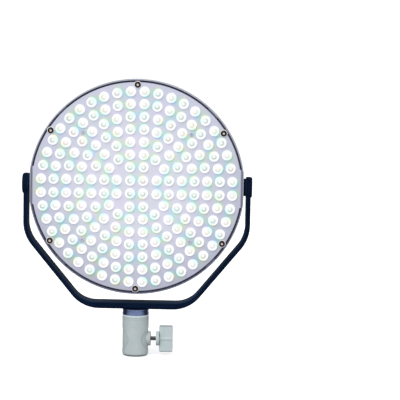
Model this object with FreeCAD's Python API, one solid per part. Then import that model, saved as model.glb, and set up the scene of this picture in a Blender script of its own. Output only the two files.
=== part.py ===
"""Round LED panel light for film and stage work, hung in a U-shaped yoke on a stand socket.

Frame: +Z up, the lit face looks towards -Y, +X is to the right as seen from the front. The origin
is the centre of the stand socket's mouth. All sizes are in millimetres. The panel is modelled round
its own centre, where the tilt axis crosses it, and lifted to the pivot height when it is written.
"""
import FreeCAD
import Part
import math
import os

V = FreeCAD.Vector
X_AXIS = V(1, 0, 0)
Y_AXIS = V(0, 1, 0)
Z_AXIS = V(0, 0, 1)

# Places closer together than this count as the same place
SAME_PLACE = 0.001

# Clearances that every fit is made from
THREAD_CLEARANCE = 0.05
RUNNING_CLEARANCE = 0.05
ASSEMBLY_CLEARANCE = 0.2
MOVING_CLEARANCE = 0.35

# Stand socket, moulded round a bore for a five-eighths inch spigot
SPIGOT_RADIUS = 7.94
SPIGOT_CLEARANCE = 0.16
SOCKET_BORE_DEPTH = 42.0
SOCKET_HEIGHT = 55.0
SOCKET_TOP_RADIUS = 17.4
SOCKET_DRAFT = 0.3
SOCKET_FOOT_ROUNDING = 4.2
SOCKET_LIP_CHAMFER = 0.7
SIDE_PAD_RADIUS = 14.7
SIDE_PAD_RECESS = 0.65
BOSS_RADIUS = 9.6
BOSS_PROUD = 2.7
BOSS_EDGE_ROUNDING = 0.8

# Bolt that ties socket, collar and bar together
SOCKET_BOLT_RADIUS = 4.0
SOCKET_BOLT_LENGTH = 20.0
SOCKET_BOLT_HEAD_RADIUS = 6.5
SOCKET_BOLT_HEAD_HEIGHT = 8.0
SOCKET_BOLT_HEX_RADIUS = 3.4
SOCKET_BOLT_HEX_DEPTH = 4.0
SOCKET_BOLT_HEAD_GAP = 0.4
BAR_TAP_SPARE = 0.6

# Collar between the socket and the bar
COLLAR_HEIGHT = 7.5
COLLAR_WAIST = 0.4
COLLAR_EDGE = 1.3

# Clamp screw with its wing knob
CLAMP_HEIGHT = 22.6
CLAMP_SCREW_RADIUS = 3.0
CLAMP_PAD_RADIUS = 2.7
CLAMP_PAD_THICKNESS = 1.6
CLAMP_PAD_RECESS = 0.3
CLAMP_PAD_STEM_RADIUS = 1.2
CLAMP_PAD_STEM_LENGTH = 2.5
CLAMP_KNOB_GAP = 7.3
CLAMP_INSERT_RADIUS = 4.6
CLAMP_INSERT_LENGTH = 10.0
KNOB_COLLAR_RADIUS = 9.4
KNOB_COLLAR_LENGTH = 4.1
KNOB_WING_LENGTH = 17.5
KNOB_WING_HEIGHT = 34.7
KNOB_WING_THICKNESS = 7.6
KNOB_WING_ROUNDING = 1.2
KNOB_HUB_RADIUS = 4.5
KNOB_HOLD_LENGTH = 14.0

# Yoke bar, bent to clear the panel's rim under it and along its slants
LEG_THICKNESS = 6.9
SLANT_THICKNESS = 7.0
BAR_THICKNESS = 10.0
BAR_DEPTH = 20.0
BAR_EDGE_ROUNDING = 2.7
BAR_GAP = 12.0
SLANT_GAP = 9.8
SLANT_ANGLE = 50.6
UPPER_BEND_RADIUS = 43.0
LOWER_BEND_RADIUS = 36.0
EYE_RADIUS = 14.0
EYE_NECK_RADIUS = 14.0

# Tilt pivots
PIVOT_SHOULDER_RADIUS = 4.0
PIVOT_HEAD_RADIUS = 6.5
PIVOT_HEAD_HEIGHT = 3.0
PIVOT_HEX_RADIUS = 2.3
PIVOT_HEX_DEPTH = 1.6
PIVOT_WEB = 3.0
PIVOT_THREAD_RADIUS = 3.0
PIVOT_THREAD_LENGTH = 11.0
PIVOT_INSERT_RADIUS = 5.0
PIVOT_INSERT_LENGTH = 12.0
FRICTION_WASHER_RADIUS = 11.5
FRICTION_WASHER_THICKNESS = 2.6
CAP_RADIUS = 13.7
CAP_CROWN_RADIUS = 9.8
CAP_HEIGHT = 1.7
CAP_PLUG_LENGTH = 0.6

# Panel housing, depths counted from the lip's front edge
PANEL_RADIUS = 140.5
FLAT_SETBACK = 1.5
PIVOT_SETBACK = 21.0
HOUSING_DEPTH = 38.0
LIP_THICKNESS = 1.4
HOUSING_WALL = 2.4
REAR_WALL = 3.0
REAR_EDGE_ROUNDING = 5.0
WALL_DRAFT = 4.5
GROOVE_WIDTH = 2.6
GROOVE_DEPTH = 6.0
SEAT_WIDTH = 8.6
SEAT_THICKNESS = 2.0
PIVOT_PAD_HALF_HEIGHT = 25.0
PIVOT_BLOCK_HALF_HEIGHT = 15.0
PIVOT_BLOCK_LENGTH = 14.0
PIVOT_BLOCK_FRONT = 9.5
WASHER_PAD_MARGIN = 1.0
LUG_ANGLES = (45.0, 135.0, 225.0, 315.0)
LUG_HALF_ANGLE = 3.2
LUG_THICKNESS = 1.6
LUG_SETBACK = 1.4

# Cooling fins on the back
FIN_HEIGHT = 9.0
FIN_THICKNESS = 2.0
FIN_PITCH = 8.0
FIN_FIELD_INSET = 13.5
FIN_BOX_MARGIN = 4.0

# Face plate and its screws
PLATE_SETBACK = 0.6
PLATE_THICKNESS = 2.0
PLATE_EDGE_CHAMFER = 0.4
RIM_SCREW_INSET = 7.1
RIM_SCREW_NEAR_ANGLE = 32.5
RIM_SCREW_HEAD_RADIUS = 4.0
RIM_SCREW_HEAD_HEIGHT = 2.2
RIM_SCREW_RADIUS = 2.0
RIM_SCREW_LENGTH = 12.0
RIM_SCREW_HEX_RADIUS = 1.45
RIM_SCREW_HEX_DEPTH = 1.2
RIM_WASHER_RADIUS = 4.9
RIM_WASHER_THICKNESS = 0.7
RIM_POST_RADIUS = 3.6
RIM_POST_LENGTH = 12.0
INNER_SCREW_SHIFT = 0.9
INNER_SCREW_HEAD_RADIUS = 2.8
INNER_SCREW_HEAD_HEIGHT = 1.2
INNER_SCREW_RADIUS = 1.5
INNER_SCREW_LENGTH = 10.0
INNER_POST_RADIUS = 4.0
INNER_SHOULDER_RADIUS = 7.0
SCREW_HOLE_SPARE = 1.0

# LED layout: rings of lenses, split into four quadrants by straight double rows. Every fourth pair
# of rings has an even count in each quadrant, which leaves its middle line free for a screw
QUADRANT = 90.0
EVEN_RING_PERIOD = 4
FIRST_RING_RADIUS = 11.9
INNER_RING_PITCH = 15.55
OUTER_RING_PITCH = 16.35
INNER_RING_STEPS = 2
LEDS_ADDED_PER_RING = 1.5
RING_TO_EDGE = 9.0
ROW_OFFSET = 8.9
LENS_RADIUS = 6.7
LENS_DOME_HEIGHT = 3.8
LENS_RIM_PROUD = 0.4
LENS_CAVITY_RADIUS = 3.9
LENS_CAVITY_SPARE = 0.6
LENS_HOLE_CLEARANCE = 0.15
CHIP_SIDE = 5.0
CHIP_THICKNESS = 1.0
BOARD_GAP_TO_PLATE = 2.4
BOARD_THICKNESS = 1.6
BOARD_SPLIT = 1.0
BOARD_SEAT_GAP = 3.3
SPREADER_THICKNESS = 3.0

# Driver board behind the heat spreader
DRIVER_WIDTH = 156.0
DRIVER_HEIGHT = 92.0
DRIVER_THICKNESS = 1.6
DRIVER_STANDOFF = 8.0
DRIVER_POST_RADIUS = 3.5
DRIVER_POST_INSET = 7.0
BOARD_SCREW_RADIUS = 1.5
BOARD_SCREW_LENGTH = 6.0
BOARD_SCREW_HEAD_RADIUS = 2.8
BOARD_SCREW_HEAD_HEIGHT = 1.6
BOARD_LINK_X = 30.0
BOARD_LINK_Z = 26.0
BOARD_LINK_WIDTH = 12.0
BOARD_LINK_HEIGHT = 6.0
CHOKE_RADIUS = 11.0
CHOKE_BORE_RADIUS = 5.0
CHOKE_HEADROOM = 4.8
CHOKE_X = 55.0
CHOKE_Z = 18.0
CAPACITOR_RADIUS = 6.0
CAPACITOR_HEADROOM = 3.8
CAPACITOR_X = 12.0
CAPACITOR_Z = 30.0
TRANSFORMER_SIDE = 26.0
TRANSFORMER_HEADROOM = 3.8
CONTROL_LINK_Z = -30.0
CONTROL_LINK_WIDTH = 22.0
CONTROL_LINK_HEIGHT = 8.0
LINK_CLEARANCE = 0.5

# Control cover on the back
COVER_WIDTH = 142.0
COVER_HEIGHT = 92.0
COVER_DEPTH = 22.0
COVER_CORNER = 12.0
COVER_WALL = 2.4
COVER_EDGE_ROUNDING = 2.0
COVER_POST_RADIUS = 4.0
COVER_POST_INSET = 8.0
COVER_SCREW_RADIUS = 1.5
COVER_SCREW_HEAD_RADIUS = 2.8
COVER_SCREW_HEAD_HEIGHT = 1.6
COVER_SCREW_HOLE_RADIUS = 1.7
CONTROL_BOARD_THICKNESS = 1.6
CONTROL_BOARD_INSET = 4.0
CONTROL_BOARD_BEHIND_FACE = 14.0
CONTROL_POST_RADIUS = 3.0
CONTROL_POST_TOP_X = 33.5
CONTROL_POST_FOOT_X = 20.0
CONTROL_POST_Z = 33.0

DISPLAY_Z = 19.0
DISPLAY_WIDTH = 50.0
DISPLAY_HEIGHT = 25.0
WINDOW_THICKNESS = 1.2
WINDOW_MARGIN = 2.5
DISPLAY_GLASS_MARGIN = 1.5

ENCODER_SIDE_INSET = 24.0
ENCODER_Z = 16.0
ENCODER_SIDE = 13.0
ENCODER_HEIGHT = 7.0
SHAFT_RADIUS = 3.0
SHAFT_DEPTH_IN_ENCODER = 5.0
DIAL_RADIUS = 10.5
DIAL_HEIGHT = 12.0
DIAL_GAP = 0.6
DIAL_FLUTES = 18
DIAL_FLUTE_RADIUS = 0.9
DIAL_CROWN = 1.6
DIAL_HOLD_DEPTH = 9.0
DIAL_MARK_WIDTH = 1.2
DIAL_MARK_LENGTH = 5.0
DIAL_MARK_DEPTH = 0.5

BUTTON_X = 13.0
BUTTON_Z = -8.0
BUTTON_WIDTH = 14.0
BUTTON_HEIGHT = 7.0
BUTTON_PROUD = 1.4
BUTTON_FLANGE = 1.2
BUTTON_FLANGE_THICKNESS = 1.0
BUTTON_CORNER = 2.0
BUTTON_EDGE = 0.6
BUTTON_TRAVEL = 1.0
BUTTON_STEM_RADIUS = 1.75
BUTTON_STEM_HOLD = 2.6
SWITCH_SIDE = 6.0
SWITCH_HEIGHT = 6.0

ROCKER_SIDE_INSET = 24.0
ROCKER_Z = -20.0
ROCKER_WIDTH = 10.6
ROCKER_RADIUS = 8.2
ROCKER_SINK = 4.4
ROCKER_VALLEY = 4.6
ROCKER_TILT = 9.0
ROCKER_PIN_RADIUS = 1.2
ROCKER_PIN_LENGTH = 1.2
ROCKER_FRAME_WIDTH = 15.0
ROCKER_FRAME_HEIGHT = 21.0
ROCKER_BEZEL = 1.6
ROCKER_FRAME_FOOT_GAP = 0.4
ROCKER_BODY_HALF_HEIGHT = 9.4
ROCKER_BODY_WALL = 1.6

INLET_SIDE_INSET = 25.0
INLET_Z = -21.0
INLET_FLANGE_WIDTH = 26.0
INLET_FLANGE_HEIGHT = 30.0
INLET_FLANGE_THICKNESS = 1.6
INLET_BARREL_RADIUS = 11.6
INLET_WELL_RADIUS = 9.6
INLET_DEPTH = 17.0
INLET_CORE_THICKNESS = 4.0
INLET_PIN_RADIUS = 1.15
INLET_PIN_SPREAD = 3.7
INLET_PIN_LENGTH = 14.0
INLET_SCREW_X = 9.6
INLET_SCREW_Z = 12.0
INLET_SCREW_RADIUS = 1.4
INLET_SCREW_LENGTH = 5.0
INLET_SCREW_HEAD_RADIUS = 2.4
INLET_SCREW_HEAD_HEIGHT = 1.2

# Places worked out from the sizes above
SOCKET_BORE_RADIUS = SPIGOT_RADIUS + SPIGOT_CLEARANCE
FLAT_X = PANEL_RADIUS - FLAT_SETBACK
LEG_INNER_X = FLAT_X + FRICTION_WASHER_THICKNESS
LEG_OUTER_X = LEG_INNER_X + LEG_THICKNESS
BAR_DROP = PANEL_RADIUS + BAR_GAP
BAR_BOTTOM_Z = SOCKET_HEIGHT + COLLAR_HEIGHT
PIVOT_Z = BAR_BOTTOM_Z + BAR_THICKNESS + BAR_DROP
SEAT_INNER_RADIUS = PANEL_RADIUS - SEAT_WIDTH
BOARD_RADIUS = SEAT_INNER_RADIUS - BOARD_SEAT_GAP
RIM_SCREW_CIRCLE = PANEL_RADIUS - RIM_SCREW_INSET
FIN_FIELD_RADIUS = PANEL_RADIUS - FIN_FIELD_INSET
LIP_Y = -PIVOT_SETBACK
PLATE_FRONT_Y = LIP_Y + PLATE_SETBACK
PLATE_BACK_Y = PLATE_FRONT_Y + PLATE_THICKNESS
BOARD_FRONT_Y = PLATE_BACK_Y + BOARD_GAP_TO_PLATE
BOARD_BACK_Y = BOARD_FRONT_Y + BOARD_THICKNESS
SPREADER_BACK_Y = BOARD_BACK_Y + SPREADER_THICKNESS
HOUSING_BACK_Y = LIP_Y + HOUSING_DEPTH
CAVITY_BACK_Y = HOUSING_BACK_Y - REAR_WALL
GROOVE_FLOOR_Y = LIP_Y + GROOVE_DEPTH
SEAT_BACK_Y = GROOVE_FLOOR_Y + SEAT_THICKNESS
DRIVER_BACK_Y = CAVITY_BACK_Y - DRIVER_STANDOFF
DRIVER_FRONT_Y = DRIVER_BACK_Y - DRIVER_THICKNESS
DRIVER_ROOM = DRIVER_FRONT_Y - SPREADER_BACK_Y
CHOKE_HEIGHT = DRIVER_ROOM - CHOKE_HEADROOM
CAPACITOR_HEIGHT = DRIVER_ROOM - CAPACITOR_HEADROOM
TRANSFORMER_HEIGHT = DRIVER_ROOM - TRANSFORMER_HEADROOM
COVER_FACE_Y = HOUSING_BACK_Y + COVER_DEPTH
COVER_INSIDE_Y = COVER_FACE_Y - COVER_WALL
ENCODER_X = COVER_WIDTH / 2 - ENCODER_SIDE_INSET
ROCKER_X = ROCKER_SIDE_INSET - COVER_WIDTH / 2
INLET_X = COVER_WIDTH / 2 - INLET_SIDE_INSET
CONTROL_BOARD_BACK_Y = COVER_FACE_Y - CONTROL_BOARD_BEHIND_FACE
CONTROL_BOARD_FRONT_Y = CONTROL_BOARD_BACK_Y - CONTROL_BOARD_THICKNESS


def cylinder(radius, length, base, direction=Z_AXIS):
    """A plain round bar from base along direction."""
    return Part.makeCylinder(radius, length, base, direction)


def tube(outer, inner, length, base, direction=Z_AXIS):
    """A round bar with a bore right through it."""
    return cylinder(outer, length, base, direction).cut(cylinder(inner, length, base, direction))


def box(x_range, y_range, z_range):
    """A block between two values on each axis."""
    corner = V(x_range[0], y_range[0], z_range[0])
    return Part.makeBox(
        x_range[1] - x_range[0],
        y_range[1] - y_range[0],
        z_range[1] - z_range[0],
        corner,
    )


def centred_box(centre_x, centre_z, width, height, y_range):
    """A block centred on a point of the panel's face, between two depths."""
    return box(
        (centre_x - width / 2, centre_x + width / 2),
        y_range,
        (centre_z - height / 2, centre_z + height / 2),
    )


def hexagon(radius, depth, base, direction):
    """A six-sided prism for a hex socket; radius is to the flats."""
    corner_radius = radius / math.cos(math.radians(30))
    rotation = FreeCAD.Rotation(Z_AXIS, direction)
    corners = []
    for step in range(7):
        angle = math.radians(60 * step)
        flat = V(corner_radius * math.cos(angle), corner_radius * math.sin(angle), 0)
        corners.append(base + rotation.multVec(flat))
    return Part.Face(Part.makePolygon(corners)).extrude(direction * depth)


def revolved(points, axis_point, axis):
    """A turned solid from the corner points of half its section."""
    face = Part.Face(Part.makePolygon(points + [points[0]]))
    return face.revolve(axis_point, axis, 360)


def polar(radius, degrees, y=0.0):
    """A point of the panel's face at a radius and an angle from +X."""
    angle = math.radians(degrees)
    return V(radius * math.cos(angle), y, radius * math.sin(angle))


def rounded_outline(points, radii):
    """A closed outline through corner points, each corner rounded by its radius (0 keeps it sharp)."""
    count = len(points)
    edges = []
    starts = []
    ends = []
    middles = []
    for index in range(count):
        corner = points[index]
        before = (points[index - 1] - corner).normalize()
        after = (points[(index + 1) % count] - corner).normalize()
        radius = radii[index]
        if radius == 0:
            starts.append(corner)
            ends.append(corner)
            middles.append(None)
            continue
        half_angle = before.getAngle(after) / 2
        reach = radius / math.tan(half_angle)
        bisector = (before + after).normalize()
        centre = corner + bisector * (radius / math.sin(half_angle))
        starts.append(corner + before * reach)
        ends.append(corner + after * reach)
        middles.append(centre - bisector * radius)
    for index in range(count):
        if middles[index] is not None:
            edges.append(Part.Arc(starts[index], middles[index], ends[index]).toShape())
        following = (index + 1) % count
        edges.append(Part.LineSegment(ends[index], starts[following]).toShape())
    return Part.Wire(edges)


def extruded(wire, y_range):
    """A solid from an outline drawn in the XZ plane, between two depths."""
    face = Part.Face(wire)
    face.translate(V(0, y_range[0], 0))
    return face.extrude(V(0, y_range[1] - y_range[0], 0))


def panel_wire(inset):
    """The panel's outline, a circle with a flat at each side, drawn inset from the outer edge."""
    radius = PANEL_RADIUS - inset
    flat_x = FLAT_X - inset
    flat_z = math.sqrt(radius ** 2 - flat_x ** 2)
    right_top = V(flat_x, 0, flat_z)
    right_foot = V(flat_x, 0, -flat_z)
    left_top = V(-flat_x, 0, flat_z)
    left_foot = V(-flat_x, 0, -flat_z)
    return Part.Wire([
        Part.Arc(right_top, V(0, 0, radius), left_top).toShape(),
        Part.LineSegment(left_top, left_foot).toShape(),
        Part.Arc(left_foot, V(0, 0, -radius), right_foot).toShape(),
        Part.LineSegment(right_foot, right_top).toShape(),
    ])


def panel_slab(inset, y_range):
    """A slab with the panel's outline."""
    return extruded(panel_wire(inset), y_range)


def rounded_rectangle(centre_x, centre_z, width, height, corner):
    """An upright rectangle outline with rounded corners, drawn in the XZ plane."""
    left = centre_x - width / 2
    right = centre_x + width / 2
    foot = centre_z - height / 2
    top = centre_z + height / 2
    points = [V(left, 0, foot), V(right, 0, foot), V(right, 0, top), V(left, 0, top)]
    return rounded_outline(points, [corner] * 4)


def edges_at_y(shape, y):
    """The edges of a shape that lie in one plane across Y."""
    found = []
    for edge in shape.Edges:
        bounds = edge.BoundBox
        if abs(bounds.YMin - y) < SAME_PLACE and abs(bounds.YMax - y) < SAME_PLACE:
            found.append(edge)
    return found


def mirrored(shape):
    """The same piece on the other side of the YZ plane."""
    return shape.mirror(V(0, 0, 0), X_AXIS)


def write(node, shapes, lift=0.0):
    """Write one node's solids to its STEP file, lifted to their height."""
    solids = []
    for shape in shapes:
        for solid in shape.Solids:
            placed = solid.copy()
            placed.translate(V(0, 0, lift))
            solids.append(placed)
    result = solids[0] if len(solids) == 1 else Part.makeCompound(solids)
    result.exportStep(os.path.join("parts", node + ".step"))


def write_panel(node, shapes):
    """Write a node that is modelled round the panel's centre."""
    write(node, shapes, PIVOT_Z)


def stand_socket():
    """Grey moulded socket: drafted body, side recesses, screw boss, spigot bore and bolt seat."""
    foot_radius = SOCKET_TOP_RADIUS - SOCKET_DRAFT
    body = revolved(
        [
            V(0, 0, 0),
            V(foot_radius, 0, 0),
            V(SOCKET_TOP_RADIUS, 0, SOCKET_HEIGHT - SOCKET_LIP_CHAMFER),
            V(SOCKET_TOP_RADIUS - SOCKET_LIP_CHAMFER, 0, SOCKET_HEIGHT),
            V(0, 0, SOCKET_HEIGHT),
        ],
        V(0, 0, 0),
        Z_AXIS,
    )
    foot_edges = [edge for edge in body.Edges if edge.BoundBox.ZMax < SAME_PLACE]
    body = body.makeFillet(SOCKET_FOOT_ROUNDING, foot_edges)
    pad_zone = cylinder(SIDE_PAD_RADIUS, 2 * SOCKET_TOP_RADIUS,
                        V(-SOCKET_TOP_RADIUS, 0, CLAMP_HEIGHT), X_AXIS)
    pad_core = cylinder(SOCKET_TOP_RADIUS - SIDE_PAD_RECESS, 2 * SIDE_PAD_RADIUS,
                        V(0, 0, CLAMP_HEIGHT - SIDE_PAD_RADIUS))
    body = body.cut(pad_zone.cut(pad_core))
    boss_face_x = SOCKET_TOP_RADIUS + BOSS_PROUD
    boss = cylinder(BOSS_RADIUS, boss_face_x, V(0, 0, CLAMP_HEIGHT), X_AXIS)
    boss_edges = [edge for edge in boss.Edges if edge.BoundBox.XMin > boss_face_x - SAME_PLACE]
    boss = boss.makeFillet(BOSS_EDGE_ROUNDING, boss_edges)
    body = body.fuse(boss).removeSplitter()
    bore = cylinder(SOCKET_BORE_RADIUS, SOCKET_BORE_DEPTH, V(0, 0, 0))
    head_room = cylinder(
        SOCKET_BOLT_HEAD_RADIUS + ASSEMBLY_CLEARANCE,
        SOCKET_BOLT_HEAD_HEIGHT + SOCKET_BOLT_HEAD_GAP,
        V(0, 0, SOCKET_BORE_DEPTH),
    )
    bolt_hole = cylinder(SOCKET_BOLT_RADIUS + ASSEMBLY_CLEARANCE, SOCKET_HEIGHT, V(0, 0, SOCKET_BORE_DEPTH))
    insert_start = boss_face_x - CLAMP_INSERT_LENGTH
    insert_seat = cylinder(CLAMP_INSERT_RADIUS, CLAMP_INSERT_LENGTH, V(insert_start, 0, CLAMP_HEIGHT), X_AXIS)
    pad_way = cylinder(CLAMP_SCREW_RADIUS + MOVING_CLEARANCE, insert_start, V(0, 0, CLAMP_HEIGHT), X_AXIS)
    return body.cut([bore, head_room, bolt_hole, insert_seat, pad_way])


def socket_bolt():
    """Cap screw with its head in the top of the spigot bore, threaded up into the bar."""
    head_z = SOCKET_BORE_DEPTH + SOCKET_BOLT_HEAD_GAP
    head = cylinder(SOCKET_BOLT_HEAD_RADIUS, SOCKET_BOLT_HEAD_HEIGHT, V(0, 0, head_z))
    shank = cylinder(SOCKET_BOLT_RADIUS, SOCKET_BOLT_LENGTH, V(0, 0, head_z + SOCKET_BOLT_HEAD_HEIGHT))
    hex_socket = hexagon(SOCKET_BOLT_HEX_RADIUS, SOCKET_BOLT_HEX_DEPTH, V(0, 0, head_z), Z_AXIS)
    return head.fuse(shank).cut(hex_socket)


def socket_collar():
    """Waisted spacer between socket and bar."""
    foot = SOCKET_HEIGHT
    top = SOCKET_HEIGHT + COLLAR_HEIGHT
    middle = (foot + top) / 2
    outer = SOCKET_TOP_RADIUS
    inner = SOCKET_BOLT_RADIUS + ASSEMBLY_CLEARANCE
    waist_foot = V(outer, 0, foot + COLLAR_EDGE)
    waist_top = V(outer, 0, top - COLLAR_EDGE)
    section = Part.Wire([
        Part.LineSegment(V(inner, 0, foot), V(outer, 0, foot)).toShape(),
        Part.LineSegment(V(outer, 0, foot), waist_foot).toShape(),
        Part.Arc(waist_foot, V(outer - COLLAR_WAIST, 0, middle), waist_top).toShape(),
        Part.LineSegment(waist_top, V(outer, 0, top)).toShape(),
        Part.LineSegment(V(outer, 0, top), V(inner, 0, top)).toShape(),
        Part.LineSegment(V(inner, 0, top), V(inner, 0, foot)).toShape(),
    ])
    return Part.Face(section).revolve(V(0, 0, 0), Z_AXIS, 360)


def clamp_insert():
    """Brass threaded insert pressed into the socket's boss."""
    start = SOCKET_TOP_RADIUS + BOSS_PROUD - CLAMP_INSERT_LENGTH
    return tube(
        CLAMP_INSERT_RADIUS,
        CLAMP_SCREW_RADIUS + THREAD_CLEARANCE,
        CLAMP_INSERT_LENGTH,
        V(start, 0, CLAMP_HEIGHT),
        X_AXIS,
    )


def clamp_places():
    """Where the pad's tip, the screw's tip and the knob's collar start along X."""
    pad_tip = SOCKET_BORE_RADIUS + CLAMP_PAD_RECESS
    screw_tip = pad_tip + CLAMP_PAD_THICKNESS
    collar_face = SOCKET_TOP_RADIUS + BOSS_PROUD + CLAMP_KNOB_GAP
    return pad_tip, screw_tip, collar_face


def clamp_pad():
    """Brass pressure pad that swivels in the screw's tip."""
    pad_tip, screw_tip, _ = clamp_places()
    disc = cylinder(CLAMP_PAD_RADIUS, CLAMP_PAD_THICKNESS, V(pad_tip, 0, CLAMP_HEIGHT), X_AXIS)
    stem = cylinder(CLAMP_PAD_STEM_RADIUS, CLAMP_PAD_STEM_LENGTH, V(screw_tip, 0, CLAMP_HEIGHT), X_AXIS)
    return disc.fuse(stem)


def clamp_screw():
    """Threaded rod of the clamp, from the pad to inside the knob."""
    _, screw_tip, collar_face = clamp_places()
    length = collar_face + KNOB_HOLD_LENGTH - screw_tip
    rod = cylinder(CLAMP_SCREW_RADIUS, length, V(screw_tip, 0, CLAMP_HEIGHT), X_AXIS)
    stem_hole = cylinder(
        CLAMP_PAD_STEM_RADIUS + RUNNING_CLEARANCE,
        CLAMP_PAD_STEM_LENGTH + MOVING_CLEARANCE,
        V(screw_tip, 0, CLAMP_HEIGHT),
        X_AXIS,
    )
    return rod.cut(stem_hole)


def clamp_knob():
    """Grey wing knob: round collar, round hub and a flat wing across it."""
    _, _, collar_face = clamp_places()
    wing_face = collar_face + KNOB_COLLAR_LENGTH
    collar = cylinder(KNOB_COLLAR_RADIUS, KNOB_COLLAR_LENGTH, V(collar_face, 0, CLAMP_HEIGHT), X_AXIS)
    wing = box(
        (wing_face, wing_face + KNOB_WING_LENGTH),
        (-KNOB_WING_THICKNESS / 2, KNOB_WING_THICKNESS / 2),
        (CLAMP_HEIGHT - KNOB_WING_HEIGHT / 2, CLAMP_HEIGHT + KNOB_WING_HEIGHT / 2),
    )
    wing = wing.makeFillet(KNOB_WING_ROUNDING, wing.Edges)
    hub = cylinder(KNOB_HUB_RADIUS, KNOB_WING_LENGTH, V(wing_face, 0, CLAMP_HEIGHT), X_AXIS)
    wing_end = wing_face + KNOB_WING_LENGTH
    hub_edges = [edge for edge in hub.Edges if edge.BoundBox.XMin > wing_end - SAME_PLACE]
    hub = hub.makeFillet(KNOB_WING_ROUNDING, hub_edges)
    screw_seat = cylinder(
        CLAMP_SCREW_RADIUS,
        KNOB_HOLD_LENGTH,
        V(collar_face, 0, CLAMP_HEIGHT),
        X_AXIS,
    )
    return collar.fuse([wing, hub]).removeSplitter().cut(screw_seat)


def yoke_front_wire():
    """The bar's outline seen from the front: legs, slants and a thicker foot, all corners bent round."""
    angle = math.radians(SLANT_ANGLE)
    slope = math.tan(angle)
    across = SLANT_THICKNESS / math.sin(angle)
    slant_distance = PANEL_RADIUS + SLANT_GAP
    inner_bend_z = (LEG_INNER_X * math.sin(angle) - slant_distance) / math.cos(angle)
    inner_foot_z = -BAR_DROP
    inner_foot_x = LEG_INNER_X - (inner_bend_z - inner_foot_z) / slope
    outer_bend_z = inner_bend_z + (LEG_THICKNESS - across) * slope
    outer_foot_z = -BAR_DROP - BAR_THICKNESS
    outer_foot_x = LEG_OUTER_X - (outer_bend_z - outer_foot_z) / slope
    top_z = 2 * EYE_RADIUS
    right = [
        (V(LEG_INNER_X, 0, top_z), 0),
        (V(LEG_OUTER_X, 0, top_z), 0),
        (V(LEG_OUTER_X, 0, outer_bend_z), UPPER_BEND_RADIUS + LEG_THICKNESS),
        (V(outer_foot_x, 0, outer_foot_z), LOWER_BEND_RADIUS + BAR_THICKNESS),
    ]
    inner = [
        (V(inner_foot_x, 0, inner_foot_z), LOWER_BEND_RADIUS),
        (V(LEG_INNER_X, 0, inner_bend_z), UPPER_BEND_RADIUS),
    ]
    flipped_outer = [(V(-point.x, 0, point.z), radius) for point, radius in reversed(right)]
    flipped_inner = [(V(-point.x, 0, point.z), radius) for point, radius in reversed(inner)]
    corners = right + flipped_outer + flipped_inner + inner
    return rounded_outline([point for point, _ in corners], [radius for _, radius in corners])


def yoke_side_wire():
    """The bar's outline seen from the side: a strap that swells into a round eye at the pivot."""
    half = BAR_DEPTH / 2
    foot_z = -2 * BAR_DROP
    neck_centre_y = half + EYE_NECK_RADIUS
    reach = EYE_RADIUS + EYE_NECK_RADIUS
    neck_z = -math.sqrt(reach ** 2 - neck_centre_y ** 2)
    share = EYE_RADIUS / reach
    touch = V(0, neck_centre_y * share, neck_z * share)
    neck_angle = math.atan2(-neck_z, neck_centre_y) / 2
    neck_middle = V(
        0,
        neck_centre_y - EYE_NECK_RADIUS * math.cos(neck_angle),
        neck_z + EYE_NECK_RADIUS * math.sin(neck_angle),
    )

    def left(point):
        return V(0, -point.y, point.z)

    strap_top = V(0, half, neck_z)
    strap_foot = V(0, half, foot_z)
    return Part.Wire([
        Part.LineSegment(left(strap_foot), strap_foot).toShape(),
        Part.LineSegment(strap_foot, strap_top).toShape(),
        Part.Arc(strap_top, neck_middle, touch).toShape(),
        Part.Arc(touch, V(0, 0, EYE_RADIUS), left(touch)).toShape(),
        Part.Arc(left(touch), left(neck_middle), left(strap_top)).toShape(),
        Part.LineSegment(left(strap_top), left(strap_foot)).toShape(),
    ])


def long_edges(bar):
    """Edges that run along the bar and round its eyes, without the short seams across it."""
    found = []
    for edge in bar.Edges:
        bounds = edge.BoundBox
        level = bounds.ZLength < SAME_PLACE
        across_depth = level and bounds.XLength < SAME_PLACE
        across_thickness = level and bounds.XLength < LEG_THICKNESS + SAME_PLACE
        if not (across_depth or across_thickness):
            found.append(edge)
    return found


def yoke_bar():
    """The whole bar with softened edges, bored for the pivots and tapped for the socket bolt."""
    front = extruded(yoke_front_wire(), (-2 * EYE_RADIUS, 2 * EYE_RADIUS))
    side = Part.Face(yoke_side_wire())
    side.translate(V(-2 * LEG_OUTER_X, 0, 0))
    side = side.extrude(V(4 * LEG_OUTER_X, 0, 0))
    bar = front.common(side)
    bar = bar.makeFillet(BAR_EDGE_ROUNDING, long_edges(bar))
    tools = []
    eyes = []
    for sign in (1, -1):
        direction = V(sign, 0, 0)
        inner = V(sign * LEG_INNER_X, 0, 0)
        eyes.append(cylinder(CAP_RADIUS, LEG_THICKNESS, inner, direction))
        tools.append(cylinder(PIVOT_SHOULDER_RADIUS + RUNNING_CLEARANCE, LEG_THICKNESS, inner, direction))
        head_seat = V(sign * (LEG_INNER_X + PIVOT_WEB), 0, 0)
        tools.append(cylinder(PIVOT_HEAD_RADIUS + MOVING_CLEARANCE, LEG_THICKNESS, head_seat, direction))
    tap_length = SOCKET_BORE_DEPTH + SOCKET_BOLT_HEAD_GAP + SOCKET_BOLT_HEAD_HEIGHT
    tap_length = tap_length + SOCKET_BOLT_LENGTH - BAR_BOTTOM_Z + BAR_TAP_SPARE
    tap_base = V(0, 0, -BAR_DROP - BAR_THICKNESS)
    tools.append(cylinder(SOCKET_BOLT_RADIUS + THREAD_CLEARANCE, tap_length, tap_base))
    return bar.fuse(eyes).cut(tools)


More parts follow.
